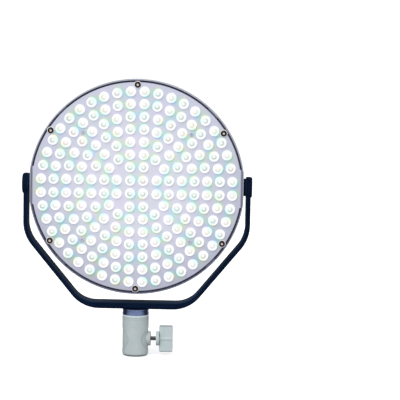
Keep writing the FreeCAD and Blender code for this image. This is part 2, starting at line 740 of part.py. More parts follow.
def pivot_cap():
    """Domed cap pressed over the bolt head, right side."""
    face = LEG_OUTER_X
    plug_radius = PIVOT_HEAD_RADIUS + MOVING_CLEARANCE
    half = math.radians(45)
    shoulder_r = CAP_CROWN_RADIUS + (CAP_RADIUS - CAP_CROWN_RADIUS) * math.cos(half)
    shoulder_x = face + CAP_HEIGHT * math.sin(half)
    crown = V(face + CAP_HEIGHT, CAP_CROWN_RADIUS, 0)
    rim = V(face, CAP_RADIUS, 0)
    plug_x = face - CAP_PLUG_LENGTH
    section = Part.Wire([
        Part.LineSegment(V(plug_x, 0, 0), V(plug_x, plug_radius, 0)).toShape(),
        Part.LineSegment(V(plug_x, plug_radius, 0), V(face, plug_radius, 0)).toShape(),
        Part.LineSegment(V(face, plug_radius, 0), rim).toShape(),
        Part.Arc(rim, V(shoulder_x, shoulder_r, 0), crown).toShape(),
        Part.LineSegment(crown, V(face + CAP_HEIGHT, 0, 0)).toShape(),
        Part.LineSegment(V(face + CAP_HEIGHT, 0, 0), V(plug_x, 0, 0)).toShape(),
    ])
    return Part.Face(section).revolve(V(0, 0, 0), X_AXIS, 360)


def friction_washer():
    """Plain washer that holds the tilt by friction, right side."""
    bore = PIVOT_SHOULDER_RADIUS + RUNNING_CLEARANCE
    return tube(FRICTION_WASHER_RADIUS, bore, FRICTION_WASHER_THICKNESS, V(FLAT_X, 0, 0), X_AXIS)


def pivot_bolt():
    """Shoulder bolt the panel tilts on, right side."""
    head_x = LEG_INNER_X + PIVOT_WEB
    thread = cylinder(PIVOT_THREAD_RADIUS, PIVOT_THREAD_LENGTH, V(FLAT_X, 0, 0), -X_AXIS)
    shoulder = cylinder(PIVOT_SHOULDER_RADIUS, head_x - FLAT_X, V(FLAT_X, 0, 0), X_AXIS)
    head = cylinder(PIVOT_HEAD_RADIUS, PIVOT_HEAD_HEIGHT, V(head_x, 0, 0), X_AXIS)
    hex_socket = hexagon(PIVOT_HEX_RADIUS, PIVOT_HEX_DEPTH, V(head_x + PIVOT_HEAD_HEIGHT, 0, 0), -X_AXIS)
    return thread.fuse([shoulder, head]).cut(hex_socket)


def pivot_insert():
    """Steel threaded insert in the housing's side block, right side."""
    bore = PIVOT_THREAD_RADIUS + THREAD_CLEARANCE
    return tube(PIVOT_INSERT_RADIUS, bore, PIVOT_INSERT_LENGTH, V(FLAT_X, 0, 0), -X_AXIS)


def ring_radii():
    """Radius of each ring of LEDs, from the middle outwards, as many as the panel holds."""
    radii = [FIRST_RING_RADIUS]
    while True:
        pitch = INNER_RING_PITCH if len(radii) <= INNER_RING_STEPS else OUTER_RING_PITCH
        following = radii[-1] + pitch
        if following + LENS_RADIUS > PANEL_RADIUS - RING_TO_EDGE:
            return radii
        radii.append(following)


def ring_count(index):
    """How many LEDs a ring has in one quadrant."""
    return 1 + int(LEDS_ADDED_PER_RING * index)


def ring_angles(index):
    """Angles of one ring's LEDs in a quadrant, spread evenly between the two straight rows."""
    row_angle = math.degrees(math.asin(ROW_OFFSET / ring_radii()[index]))
    gaps = ring_count(index) - 1
    if gaps == 0:
        return [QUADRANT / 2]
    return [row_angle + step * (QUADRANT - 2 * row_angle) / gaps for step in range(gaps + 1)]


def inner_screw_circle():
    """The outermost circle where no LED stands on the quadrant's middle line, nudged inwards."""
    radii = ring_radii()
    inner_ring = 1 + EVEN_RING_PERIOD * ((len(radii) - 2) // EVEN_RING_PERIOD)
    pitch = OUTER_RING_PITCH if inner_ring > INNER_RING_STEPS else INNER_RING_PITCH
    return radii[inner_ring] + pitch / 2 - INNER_SCREW_SHIFT


def inner_screw_points():
    """Places of the four screws further in on the face."""
    return [polar(inner_screw_circle(), QUADRANT * (step + 0.5)) for step in range(4)]


def rim_screw_angle():
    """Angle of a side rim screw: midway between two LEDs of the outermost ring."""
    angles = ring_angles(len(ring_radii()) - 1)
    middles = [(low + high) / 2 for low, high in zip(angles, angles[1:])]
    return min(middles, key=lambda angle: abs(angle - RIM_SCREW_NEAR_ANGLE))


def rim_screw_points():
    """Places of the six screws round the face plate's rim."""
    side = rim_screw_angle()
    half_turn = 2 * QUADRANT
    angles = (QUADRANT, side, -side, -QUADRANT, side - half_turn, half_turn - side)
    return [polar(RIM_SCREW_CIRCLE, angle) for angle in angles]


def at_depth(point, y):
    """The same point of the face at another depth."""
    return V(point.x, y, point.z)


def corner_points(half_width, half_height):
    """The four corners of a centred rectangle."""
    corners = []
    for x_sign in (-1, 1):
        for z_sign in (-1, 1):
            corners.append(V(x_sign * half_width, 0, z_sign * half_height))
    return corners


def driver_post_points():
    """Places of the driver board's four posts."""
    return corner_points(DRIVER_WIDTH / 2 - DRIVER_POST_INSET, DRIVER_HEIGHT / 2 - DRIVER_POST_INSET)


def cover_post_points():
    """Places of the control cover's four screws."""
    return corner_points(COVER_WIDTH / 2 - COVER_POST_INSET, COVER_HEIGHT / 2 - COVER_POST_INSET)


def control_post_points():
    """Places of the control board's four posts."""
    points = []
    for sign in (-1, 1):
        points.append(V(sign * CONTROL_POST_TOP_X, 0, CONTROL_POST_Z))
        points.append(V(sign * CONTROL_POST_FOOT_X, 0, -CONTROL_POST_Z))
    return points


def lug(angle):
    """One bayonet lug in the groove, for a slip-on front accessory."""
    outer = PANEL_RADIUS - LIP_THICKNESS / 2
    inner = PANEL_RADIUS - LIP_THICKNESS - GROOVE_WIDTH + MOVING_CLEARANCE
    start = LIP_Y + LUG_SETBACK
    ring = tube(outer, inner, LUG_THICKNESS, V(0, start, 0), Y_AXIS)
    half_length = outer * math.tan(math.radians(LUG_HALF_ANGLE))
    sector = box((0, 2 * PANEL_RADIUS), (start, start + LUG_THICKNESS), (-half_length, half_length))
    sector.rotate(V(0, 0, 0), Y_AXIS, -angle)
    return ring.common(sector)


def fins():
    """Upright cooling fins on the back, left open round the control cover."""
    keep_x = COVER_WIDTH / 2 + FIN_BOX_MARGIN
    keep_z = COVER_HEIGHT / 2 + FIN_BOX_MARGIN
    depth = (HOUSING_BACK_Y - REAR_WALL / 2, HOUSING_BACK_Y + FIN_HEIGHT)
    steps = int(FIN_FIELD_RADIUS / FIN_PITCH)
    blades = []
    for step in range(-steps, steps + 1):
        x = step * FIN_PITCH
        reach = math.sqrt(FIN_FIELD_RADIUS ** 2 - (abs(x) + FIN_THICKNESS / 2) ** 2)
        span = (x - FIN_THICKNESS / 2, x + FIN_THICKNESS / 2)
        if abs(x) < keep_x + FIN_THICKNESS / 2:
            blades.append(box(span, depth, (keep_z, reach)))
            blades.append(box(span, depth, (-reach, -keep_z)))
        else:
            blades.append(box(span, depth, (-reach, reach)))
    return blades


def pivot_block(sign):
    """Thick block inside the housing wall that takes a pivot insert."""
    x_range = sorted((sign * (FLAT_X - PIVOT_BLOCK_LENGTH), sign * (FLAT_X - HOUSING_WALL)))
    z_range = (-PIVOT_BLOCK_HALF_HEIGHT, PIVOT_BLOCK_HALF_HEIGHT)
    return box(x_range, (-PIVOT_BLOCK_FRONT, HOUSING_BACK_Y - REAR_EDGE_ROUNDING), z_range)


def washer_pad(sign):
    """Round pad that stands out of the drafted wall and carries the friction washer."""
    radius = FRICTION_WASHER_RADIUS + WASHER_PAD_MARGIN
    return cylinder(radius, HOUSING_WALL, V(sign * FLAT_X, 0, 0), V(-sign, 0, 0))


def drafted_wall(inset, back_y):
    """The housing's form behind the seat ring: narrower towards its rounded back, with two flats."""
    front_radius = PANEL_RADIUS - inset
    back_radius = front_radius - (back_y - SEAT_BACK_Y) * math.tan(math.radians(WALL_DRAFT))
    wall = revolved([
        V(0, SEAT_BACK_Y, 0),
        V(front_radius, SEAT_BACK_Y, 0),
        V(back_radius, back_y, 0),
        V(0, back_y, 0),
    ], V(0, 0, 0), Y_AXIS)
    wall = wall.makeFillet(REAR_EDGE_ROUNDING - inset, edges_at_y(wall, back_y))
    height = (-PANEL_RADIUS, PANEL_RADIUS)
    for sign in (1, -1):
        side = sorted((sign * (FLAT_X - inset), sign * 2 * PANEL_RADIUS))
        wall = wall.cut(box(side, (SEAT_BACK_Y, back_y), height))
    return wall


def rear_housing():
    """Cast housing: lip, groove with lugs, seat ring, drafted wall, posts, pivot blocks and fins."""
    shell = panel_slab(0, (LIP_Y, SEAT_BACK_Y))
    shell = shell.fuse(drafted_wall(0, HOUSING_BACK_Y)).removeSplitter()
    front_room = panel_slab(LIP_THICKNESS, (LIP_Y, GROOVE_FLOOR_Y))
    seat_hole = cylinder(SEAT_INNER_RADIUS, GROOVE_DEPTH + SEAT_THICKNESS, V(0, LIP_Y, 0), Y_AXIS)
    cavity = drafted_wall(HOUSING_WALL, CAVITY_BACK_Y)
    shell = shell.cut([front_room, seat_hole, cavity])
    added = [lug(angle) for angle in LUG_ANGLES] + fins()
    added = added + [pivot_block(1), pivot_block(-1), washer_pad(1), washer_pad(-1)]
    floor_y = HOUSING_BACK_Y - REAR_WALL / 2
    for point in rim_screw_points():
        added.append(cylinder(RIM_POST_RADIUS, RIM_POST_LENGTH, at_depth(point, GROOVE_FLOOR_Y), Y_AXIS))
    for point in inner_screw_points():
        post = at_depth(point, PLATE_BACK_Y)
        added.append(cylinder(INNER_POST_RADIUS, floor_y - PLATE_BACK_Y, post, Y_AXIS))
        shoulder = at_depth(point, SPREADER_BACK_Y)
        added.append(cylinder(INNER_SHOULDER_RADIUS, floor_y - SPREADER_BACK_Y, shoulder, Y_AXIS))
    for point in driver_post_points():
        post = at_depth(point, DRIVER_BACK_Y)
        added.append(cylinder(DRIVER_POST_RADIUS, floor_y - DRIVER_BACK_Y, post, Y_AXIS))
    shell = shell.fuse(added)
    return shell.cut(housing_holes())


def housing_holes():
    """Screw holes, insert bores and the slot for the control link."""
    holes = []
    rim_depth = RIM_SCREW_LENGTH - (GROOVE_FLOOR_Y - PLATE_FRONT_Y) - RIM_WASHER_THICKNESS + SCREW_HOLE_SPARE
    for point in rim_screw_points():
        holes.append(cylinder(
            RIM_SCREW_RADIUS + THREAD_CLEARANCE, rim_depth, at_depth(point, GROOVE_FLOOR_Y), Y_AXIS,
        ))
    inner_depth = INNER_SCREW_LENGTH - PLATE_THICKNESS + SCREW_HOLE_SPARE
    for point in inner_screw_points():
        holes.append(cylinder(
            INNER_SCREW_RADIUS + THREAD_CLEARANCE, inner_depth, at_depth(point, PLATE_BACK_Y), Y_AXIS,
        ))
    board_depth = BOARD_SCREW_LENGTH - DRIVER_THICKNESS + SCREW_HOLE_SPARE
    for point in driver_post_points():
        holes.append(cylinder(
            BOARD_SCREW_RADIUS + THREAD_CLEARANCE, board_depth, at_depth(point, DRIVER_BACK_Y), Y_AXIS,
        ))
    for point in cover_post_points():
        holes.append(cylinder(
            COVER_SCREW_RADIUS + THREAD_CLEARANCE, REAR_WALL, at_depth(point, CAVITY_BACK_Y), Y_AXIS,
        ))
    for sign in (1, -1):
        direction = V(-sign, 0, 0)
        holes.append(cylinder(PIVOT_INSERT_RADIUS, PIVOT_INSERT_LENGTH, V(sign * FLAT_X, 0, 0), direction))
    holes.append(centred_box(
        0,
        CONTROL_LINK_Z,
        CONTROL_LINK_WIDTH + 2 * LINK_CLEARANCE,
        CONTROL_LINK_HEIGHT + 2 * LINK_CLEARANCE,
        (CAVITY_BACK_Y, HOUSING_BACK_Y),
    ))
    return holes


def quadrant_leds(x_sign, z_sign):
    """LED places of one quadrant, ring by ring."""
    points = []
    for index, radius in enumerate(ring_radii()):
        for angle in ring_angles(index):
            place = polar(radius, angle)
            points.append(V(x_sign * place.x, 0, z_sign * place.z))
    return points


def quadrant_signs():
    """The four quadrants, counted from the upper right against the clock."""
    return ((1, 1), (-1, 1), (-1, -1), (1, -1))


def all_leds():
    """Every LED place on the face."""
    points = []
    for x_sign, z_sign in quadrant_signs():
        points.extend(quadrant_leds(x_sign, z_sign))
    return points


def face_plate():
    """Front plate with a hole for every lens; its side tabs close the groove at the pivots."""
    plate = panel_slab(LIP_THICKNESS + GROOVE_WIDTH, (PLATE_FRONT_Y, PLATE_BACK_Y))
    wide = panel_slab(LIP_THICKNESS + MOVING_CLEARANCE, (PLATE_FRONT_Y, PLATE_BACK_Y))
    band_z = (-PIVOT_PAD_HALF_HEIGHT, PIVOT_PAD_HALF_HEIGHT)
    band = box((-PANEL_RADIUS, PANEL_RADIUS), (PLATE_FRONT_Y, PLATE_BACK_Y), band_z)
    plate = plate.fuse(wide.common(band)).removeSplitter()
    plate = plate.makeChamfer(PLATE_EDGE_CHAMFER, edges_at_y(plate, PLATE_FRONT_Y))
    holes = []
    for point in all_leds():
        hole_radius = LENS_RADIUS + LENS_HOLE_CLEARANCE
        holes.append(cylinder(hole_radius, PLATE_THICKNESS, at_depth(point, PLATE_FRONT_Y), Y_AXIS))
    for point in rim_screw_points():
        hole_radius = RIM_SCREW_RADIUS + ASSEMBLY_CLEARANCE
        holes.append(cylinder(hole_radius, PLATE_THICKNESS, at_depth(point, PLATE_FRONT_Y), Y_AXIS))
    for point in inner_screw_points():
        hole_radius = INNER_SCREW_RADIUS + ASSEMBLY_CLEARANCE
        holes.append(cylinder(hole_radius, PLATE_THICKNESS, at_depth(point, PLATE_FRONT_Y), Y_AXIS))
    return plate.cut(holes)


def rim_seal():
    """Soft gasket between the plate's rim and the seat ring."""
    span = (PLATE_BACK_Y, GROOVE_FLOOR_Y)
    ring = panel_slab(LIP_THICKNESS + GROOVE_WIDTH, span)
    holes = [cylinder(SEAT_INNER_RADIUS, GROOVE_FLOOR_Y - PLATE_BACK_Y, V(0, PLATE_BACK_Y, 0), Y_AXIS)]
    for point in rim_screw_points():
        hole_radius = RIM_SCREW_RADIUS + ASSEMBLY_CLEARANCE
        holes.append(cylinder(hole_radius, span[1] - span[0], at_depth(point, span[0]), Y_AXIS))
    return ring.cut(holes)


def button_head_screw(point, seat_y, head_radius, head_height, radius, length):
    """Screw with a domed head whose underside sits at seat_y, pointing into the panel."""
    crown_radius = head_radius / 2
    middle_radius = crown_radius + (head_radius - crown_radius) * math.cos(math.radians(45))
    middle_y = seat_y - head_height * math.sin(math.radians(45))
    rim = V(head_radius, seat_y, 0)
    crown = V(crown_radius, seat_y - head_height, 0)
    section = Part.Wire([
        Part.LineSegment(V(0, seat_y, 0), rim).toShape(),
        Part.Arc(rim, V(middle_radius, middle_y, 0), crown).toShape(),
        Part.LineSegment(crown, V(0, seat_y - head_height, 0)).toShape(),
        Part.LineSegment(V(0, seat_y - head_height, 0), V(0, seat_y, 0)).toShape(),
    ])
    head = Part.Face(section).revolve(V(0, 0, 0), Y_AXIS, 360)
    screw = head.fuse(cylinder(radius, length, V(0, seat_y, 0), Y_AXIS))
    screw.translate(V(point.x, 0, point.z))
    return screw


def rim_screws():
    """Six black button-head screws with hex sockets."""
    seat_y = PLATE_FRONT_Y - RIM_WASHER_THICKNESS
    screws = []
    for point in rim_screw_points():
        screw = button_head_screw(
            point,
            seat_y,
            RIM_SCREW_HEAD_RADIUS,
            RIM_SCREW_HEAD_HEIGHT,
            RIM_SCREW_RADIUS,
            RIM_SCREW_LENGTH,
        )
        mouth = at_depth(point, seat_y - RIM_SCREW_HEAD_HEIGHT)
        screws.append(screw.cut(hexagon(RIM_SCREW_HEX_RADIUS, RIM_SCREW_HEX_DEPTH, mouth, Y_AXIS)))
    return screws


def rim_washers():
    """Six pale washers under the rim screws."""
    front = PLATE_FRONT_Y - RIM_WASHER_THICKNESS
    bore = RIM_SCREW_RADIUS + ASSEMBLY_CLEARANCE
    washers = []
    for point in rim_screw_points():
        washers.append(tube(RIM_WASHER_RADIUS, bore, RIM_WASHER_THICKNESS, at_depth(point, front), Y_AXIS))
    return washers


def inner_screws():
    """Four small pale screws that hold the plate to the long posts."""
    screws = []
    for point in inner_screw_points():
        screw = button_head_screw(
            point,
            PLATE_FRONT_Y,
            INNER_SCREW_HEAD_RADIUS,
            INNER_SCREW_HEAD_HEIGHT,
            INNER_SCREW_RADIUS,
            INNER_SCREW_LENGTH,
        )
        screws.append(screw)
    return screws


def led_board(x_sign, z_sign):
    """One quadrant of the LED board, cut out round its long post."""
    disc = cylinder(BOARD_RADIUS, BOARD_THICKNESS, V(0, BOARD_FRONT_Y, 0), Y_AXIS)
    x_range = sorted((x_sign * BOARD_SPLIT / 2, x_sign * PANEL_RADIUS))
    z_range = sorted((z_sign * BOARD_SPLIT / 2, z_sign * PANEL_RADIUS))
    board = disc.common(box(x_range, (BOARD_FRONT_Y, BOARD_BACK_Y), z_range))
    place = polar(inner_screw_circle(), QUADRANT / 2)
    post = V(x_sign * place.x, BOARD_FRONT_Y, z_sign * place.z)
    return board.cut(cylinder(INNER_POST_RADIUS + ASSEMBLY_CLEARANCE, BOARD_THICKNESS, post, Y_AXIS))


def led_chips():
    """One square LED under every lens."""
    chips = []
    for point in all_leds():
        depth = (BOARD_FRONT_Y - CHIP_THICKNESS, BOARD_FRONT_Y)
        chips.append(centred_box(point.x, point.z, CHIP_SIDE, CHIP_SIDE, depth))
    return chips


def led_lenses():
    """Clear domed lenses that stand on the boards and come out through the plate."""
    rim_y = PLATE_FRONT_Y - LENS_RIM_PROUD
    top_y = PLATE_FRONT_Y - LENS_DOME_HEIGHT
    rise = rim_y - top_y
    ball = (LENS_RADIUS ** 2 + rise ** 2) / (2 * rise)
    half_angle = math.asin(LENS_RADIUS / ball) / 2
    middle = V(ball * math.sin(half_angle), top_y + ball * (1 - math.cos(half_angle)), 0)
    cavity_y = BOARD_FRONT_Y - CHIP_THICKNESS - LENS_CAVITY_SPARE
    top = V(0, top_y, 0)
    outer_rim = V(LENS_RADIUS, rim_y, 0)
    outer_foot = V(LENS_RADIUS, BOARD_FRONT_Y, 0)
    cavity_foot = V(LENS_CAVITY_RADIUS, BOARD_FRONT_Y, 0)
    cavity_edge = V(LENS_CAVITY_RADIUS, cavity_y, 0)
    cavity_middle = V(0, cavity_y, 0)
    section = Part.Wire([
        Part.Arc(top, middle, outer_rim).toShape(),
        Part.LineSegment(outer_rim, outer_foot).toShape(),
        Part.LineSegment(outer_foot, cavity_foot).toShape(),
        Part.LineSegment(cavity_foot, cavity_edge).toShape(),
        Part.LineSegment(cavity_edge, cavity_middle).toShape(),
        Part.LineSegment(cavity_middle, top).toShape(),
    ])
    lens = Part.Face(section).revolve(V(0, 0, 0), Y_AXIS, 360)
    lenses = []
    for point in all_leds():
        copy = lens.copy()
        copy.translate(V(point.x, 0, point.z))
        lenses.append(copy)
    return lenses


def board_link_points():
    """Places of the four links between the LED boards and the driver board."""
    return corner_points(BOARD_LINK_X, BOARD_LINK_Z)


def heat_spreader():
    """Aluminium disc that carries the LED boards on the shoulders of the long posts."""
    disc = cylinder(BOARD_RADIUS, SPREADER_THICKNESS, V(0, BOARD_BACK_Y, 0), Y_AXIS)
    holes = []
    for point in inner_screw_points():
        hole_radius = INNER_POST_RADIUS + ASSEMBLY_CLEARANCE
        holes.append(cylinder(hole_radius, SPREADER_THICKNESS, at_depth(point, BOARD_BACK_Y), Y_AXIS))
    for point in board_link_points():
        holes.append(centred_box(
            point.x,
            point.z,
            BOARD_LINK_WIDTH + 2 * LINK_CLEARANCE,
            BOARD_LINK_HEIGHT + 2 * LINK_CLEARANCE,
            (BOARD_BACK_Y, SPREADER_BACK_Y),
        ))
    return disc.cut(holes)


def board_links():
    """Board-to-board connectors from the LED boards to the driver board."""
    links = []
    for point in board_link_points():
        depth = (BOARD_BACK_Y, DRIVER_FRONT_Y)
        links.append(centred_box(point.x, point.z, BOARD_LINK_WIDTH, BOARD_LINK_HEIGHT, depth))
    return links


def driver_board():
    """Circuit board that feeds the LEDs."""
    board = centred_box(0, 0, DRIVER_WIDTH, DRIVER_HEIGHT, (DRIVER_FRONT_Y, DRIVER_BACK_Y))
    holes = []
    for point in driver_post_points():
        hole_radius = BOARD_SCREW_RADIUS + ASSEMBLY_CLEARANCE
        holes.append(cylinder(hole_radius, DRIVER_THICKNESS, at_depth(point, DRIVER_FRONT_Y), Y_AXIS))
    return board.cut(holes)


def board_screws(points, seat_y):
    """Small screws through a board into its posts, heads on the board's front."""
    screws = []
    for point in points:
        screws.append(button_head_screw(
            point,
            seat_y,
            BOARD_SCREW_HEAD_RADIUS,
            BOARD_SCREW_HEAD_HEIGHT,
            BOARD_SCREW_RADIUS,
            BOARD_SCREW_LENGTH,
        ))
    return screws


def driver_chokes():
    """Four ring chokes on the driver board."""
    chokes = []
    for point in corner_points(CHOKE_X, CHOKE_Z):
        base = at_depth(point, DRIVER_FRONT_Y)
        chokes.append(tube(CHOKE_RADIUS, CHOKE_BORE_RADIUS, CHOKE_HEIGHT, base, -Y_AXIS))
    return chokes


def driver_capacitors():
    """Four can capacitors on the driver board."""
    cans = []
    for point in corner_points(CAPACITOR_X, CAPACITOR_Z):
        base = at_depth(point, DRIVER_FRONT_Y)
        cans.append(cylinder(CAPACITOR_RADIUS, CAPACITOR_HEIGHT, base, -Y_AXIS))
    return cans


def driver_transformer():
    """Block transformer in the middle of the driver board."""
    depth = (DRIVER_FRONT_Y - TRANSFORMER_HEIGHT, DRIVER_FRONT_Y)
    return centred_box(0, 0, TRANSFORMER_SIDE, TRANSFORMER_SIDE, depth)


def control_link():
    """Connector from the driver board through the housing to the control board."""
    depth = (DRIVER_BACK_Y, CONTROL_BOARD_FRONT_Y)
    return centred_box(0, CONTROL_LINK_Z, CONTROL_LINK_WIDTH, CONTROL_LINK_HEIGHT, depth)


def control_cover():
    """Cover on the back with its posts and an opening for every control."""
    outer = rounded_rectangle(0, 0, COVER_WIDTH, COVER_HEIGHT, COVER_CORNER)
    cover = extruded(outer, (HOUSING_BACK_Y, COVER_FACE_Y))
    cover = cover.makeFillet(COVER_EDGE_ROUNDING, edges_at_y(cover, COVER_FACE_Y))
    inner = rounded_rectangle(
        0, 0, COVER_WIDTH - 2 * COVER_WALL, COVER_HEIGHT - 2 * COVER_WALL, COVER_CORNER - COVER_WALL,
    )
    cover = cover.cut(extruded(inner, (HOUSING_BACK_Y, COVER_INSIDE_Y)))
    posts = []
    for point in cover_post_points():
        posts.append(cylinder(
            COVER_POST_RADIUS, COVER_DEPTH - COVER_WALL / 2, at_depth(point, HOUSING_BACK_Y), Y_AXIS,
        ))
    for point in control_post_points():
        posts.append(cylinder(
            CONTROL_POST_RADIUS,
            COVER_INSIDE_Y - CONTROL_BOARD_BACK_Y + COVER_WALL / 2,
            at_depth(point, CONTROL_BOARD_BACK_Y),
            Y_AXIS,
        ))
    return cover.fuse(posts).cut(cover_openings())


def cover_openings():
    """Everything that is cut out of the control cover."""
    through = (COVER_INSIDE_Y, COVER_FACE_Y)
    cuts = []
    cuts.append(centred_box(0, DISPLAY_Z, DISPLAY_WIDTH, DISPLAY_HEIGHT, through))
    cuts.append(centred_box(
        0,
        DISPLAY_Z,
        DISPLAY_WIDTH + 2 * WINDOW_MARGIN,
        DISPLAY_HEIGHT + 2 * WINDOW_MARGIN,
        (COVER_FACE_Y - WINDOW_THICKNESS, COVER_FACE_Y),
    ))
    for sign in (-1, 1):
        shaft_base = V(sign * ENCODER_X, COVER_INSIDE_Y, ENCODER_Z)
        cuts.append(cylinder(SHAFT_RADIUS + MOVING_CLEARANCE, COVER_WALL, shaft_base, Y_AXIS))
        cuts.append(extruded(
            rounded_rectangle(
                sign * BUTTON_X,
                BUTTON_Z,
                BUTTON_WIDTH + 2 * MOVING_CLEARANCE,
                BUTTON_HEIGHT + 2 * MOVING_CLEARANCE,
                BUTTON_CORNER + MOVING_CLEARANCE,
            ),
            through,
        ))
    cuts.append(centred_box(
        ROCKER_X,
        ROCKER_Z,
        ROCKER_WIDTH + 2 * MOVING_CLEARANCE + 2 * ROCKER_BODY_WALL,
        2 * ROCKER_BODY_HALF_HEIGHT,
        through,
    ))
    cuts.append(cylinder(INLET_BARREL_RADIUS, COVER_WALL, V(INLET_X, COVER_INSIDE_Y, INLET_Z), Y_AXIS))
    for point in inlet_screw_points():
        cuts.append(cylinder(
            INLET_SCREW_RADIUS + THREAD_CLEARANCE, COVER_WALL, at_depth(point, COVER_INSIDE_Y), Y_AXIS,
        ))
    for point in cover_post_points():
        cuts.append(cylinder(COVER_SCREW_HOLE_RADIUS, COVER_DEPTH, at_depth(point, HOUSING_BACK_Y), Y_AXIS))
        seat = at_depth(point, COVER_FACE_Y - COVER_SCREW_HEAD_HEIGHT)
        seat_radius = COVER_SCREW_HEAD_RADIUS + ASSEMBLY_CLEARANCE
        cuts.append(cylinder(seat_radius, COVER_SCREW_HEAD_HEIGHT, seat, Y_AXIS))
    for point in control_post_points():
        board_depth = BOARD_SCREW_LENGTH - CONTROL_BOARD_THICKNESS + SCREW_HOLE_SPARE
        base = at_depth(point, CONTROL_BOARD_BACK_Y)
        cuts.append(cylinder(BOARD_SCREW_RADIUS + THREAD_CLEARANCE, board_depth, base, Y_AXIS))
    return cuts


def cover_screws():
    """Four long screws through the cover's posts into the housing."""
    seat_y = COVER_FACE_Y - COVER_SCREW_HEAD_HEIGHT
    screws = []
    for point in cover_post_points():
        seat = at_depth(point, seat_y)
        tip = at_depth(point, CAVITY_BACK_Y)
        head = cylinder(COVER_SCREW_HEAD_RADIUS, COVER_SCREW_HEAD_HEIGHT, seat, Y_AXIS)
        shank = cylinder(COVER_SCREW_RADIUS, seat_y - CAVITY_BACK_Y, tip, Y_AXIS)
        mouth = at_depth(point, COVER_FACE_Y)
        drive = hexagon(RIM_SCREW_HEX_RADIUS, COVER_SCREW_HEAD_HEIGHT / 2, mouth, -Y_AXIS)
        screws.append(head.fuse(shank).cut(drive))
    return screws


def control_board():
    """Circuit board behind the controls, cut out round posts and the inlet."""
    margin = 2 * (COVER_WALL + CONTROL_BOARD_INSET)
    span = (CONTROL_BOARD_FRONT_Y, CONTROL_BOARD_BACK_Y)
    board = centred_box(0, 0, COVER_WIDTH - margin, COVER_HEIGHT - margin, span)
    base_y = CONTROL_BOARD_FRONT_Y
    inlet_radius = INLET_BARREL_RADIUS + MOVING_CLEARANCE
    cuts = [cylinder(inlet_radius, CONTROL_BOARD_THICKNESS, V(INLET_X, base_y, INLET_Z), Y_AXIS)]
    for point in cover_post_points():
        post_radius = COVER_POST_RADIUS + MOVING_CLEARANCE
        cuts.append(cylinder(post_radius, CONTROL_BOARD_THICKNESS, at_depth(point, base_y), Y_AXIS))
    for point in control_post_points():
        hole_radius = BOARD_SCREW_RADIUS + ASSEMBLY_CLEARANCE
        cuts.append(cylinder(hole_radius, CONTROL_BOARD_THICKNESS, at_depth(point, base_y), Y_AXIS))
    return board.cut(cuts)


def display_module():
    """Display between the control board and the cover's face."""
    width = DISPLAY_WIDTH + 2 * DISPLAY_GLASS_MARGIN
    height = DISPLAY_HEIGHT + 2 * DISPLAY_GLASS_MARGIN
    return centred_box(0, DISPLAY_Z, width, height, (CONTROL_BOARD_BACK_Y, COVER_INSIDE_Y))


def display_window():
    """Clear window let into the cover's face."""
    width = DISPLAY_WIDTH + 2 * WINDOW_MARGIN
    height = DISPLAY_HEIGHT + 2 * WINDOW_MARGIN
    return centred_box(0, DISPLAY_Z, width, height, (COVER_FACE_Y - WINDOW_THICKNESS, COVER_FACE_Y))


def encoder_bodies():
    """Two rotary encoders on the control board."""
    top_y = CONTROL_BOARD_BACK_Y + ENCODER_HEIGHT
    bodies = []
    depth = (CONTROL_BOARD_BACK_Y, top_y)
    for sign in (-1, 1):
        body = centred_box(sign * ENCODER_X, ENCODER_Z, ENCODER_SIDE, ENCODER_SIDE, depth)
        bore_depth = SHAFT_DEPTH_IN_ENCODER + MOVING_CLEARANCE
        mouth = V(sign * ENCODER_X, top_y, ENCODER_Z)
        bodies.append(body.cut(cylinder(SHAFT_RADIUS + RUNNING_CLEARANCE, bore_depth, mouth, -Y_AXIS)))
    return bodies


def encoder_shaft(sign):
    """Shaft of one encoder, up into its knob."""
    foot_y = CONTROL_BOARD_BACK_Y + ENCODER_HEIGHT - SHAFT_DEPTH_IN_ENCODER
    length = COVER_FACE_Y + DIAL_GAP + DIAL_HOLD_DEPTH - foot_y
    return cylinder(SHAFT_RADIUS, length, V(sign * ENCODER_X, foot_y, ENCODER_Z), Y_AXIS)


def dial(sign):
    """Fluted knob of one encoder with a pointer mark."""
    foot_y = COVER_FACE_Y + DIAL_GAP
    top_y = foot_y + DIAL_HEIGHT
    body = cylinder(DIAL_RADIUS, DIAL_HEIGHT, V(0, foot_y, 0), Y_AXIS)
    body = body.makeFillet(DIAL_CROWN, edges_at_y(body, top_y))
    cuts = [cylinder(SHAFT_RADIUS, DIAL_HOLD_DEPTH, V(0, foot_y, 0), Y_AXIS)]
    for step in range(DIAL_FLUTES):
        place = polar(DIAL_RADIUS, step * 360 / DIAL_FLUTES, foot_y)
        cuts.append(cylinder(DIAL_FLUTE_RADIUS, DIAL_HEIGHT - DIAL_CROWN, place, Y_AXIS))
    mark_foot_z = DIAL_RADIUS - DIAL_CROWN - DIAL_MARK_LENGTH
    cuts.append(box(
        (-DIAL_MARK_WIDTH / 2, DIAL_MARK_WIDTH / 2),
        (top_y - DIAL_MARK_DEPTH, top_y),
        (mark_foot_z, mark_foot_z + DIAL_MARK_LENGTH),
    ))
    body = body.cut(cuts)
    body.translate(V(sign * ENCODER_X, 0, ENCODER_Z))
    return body


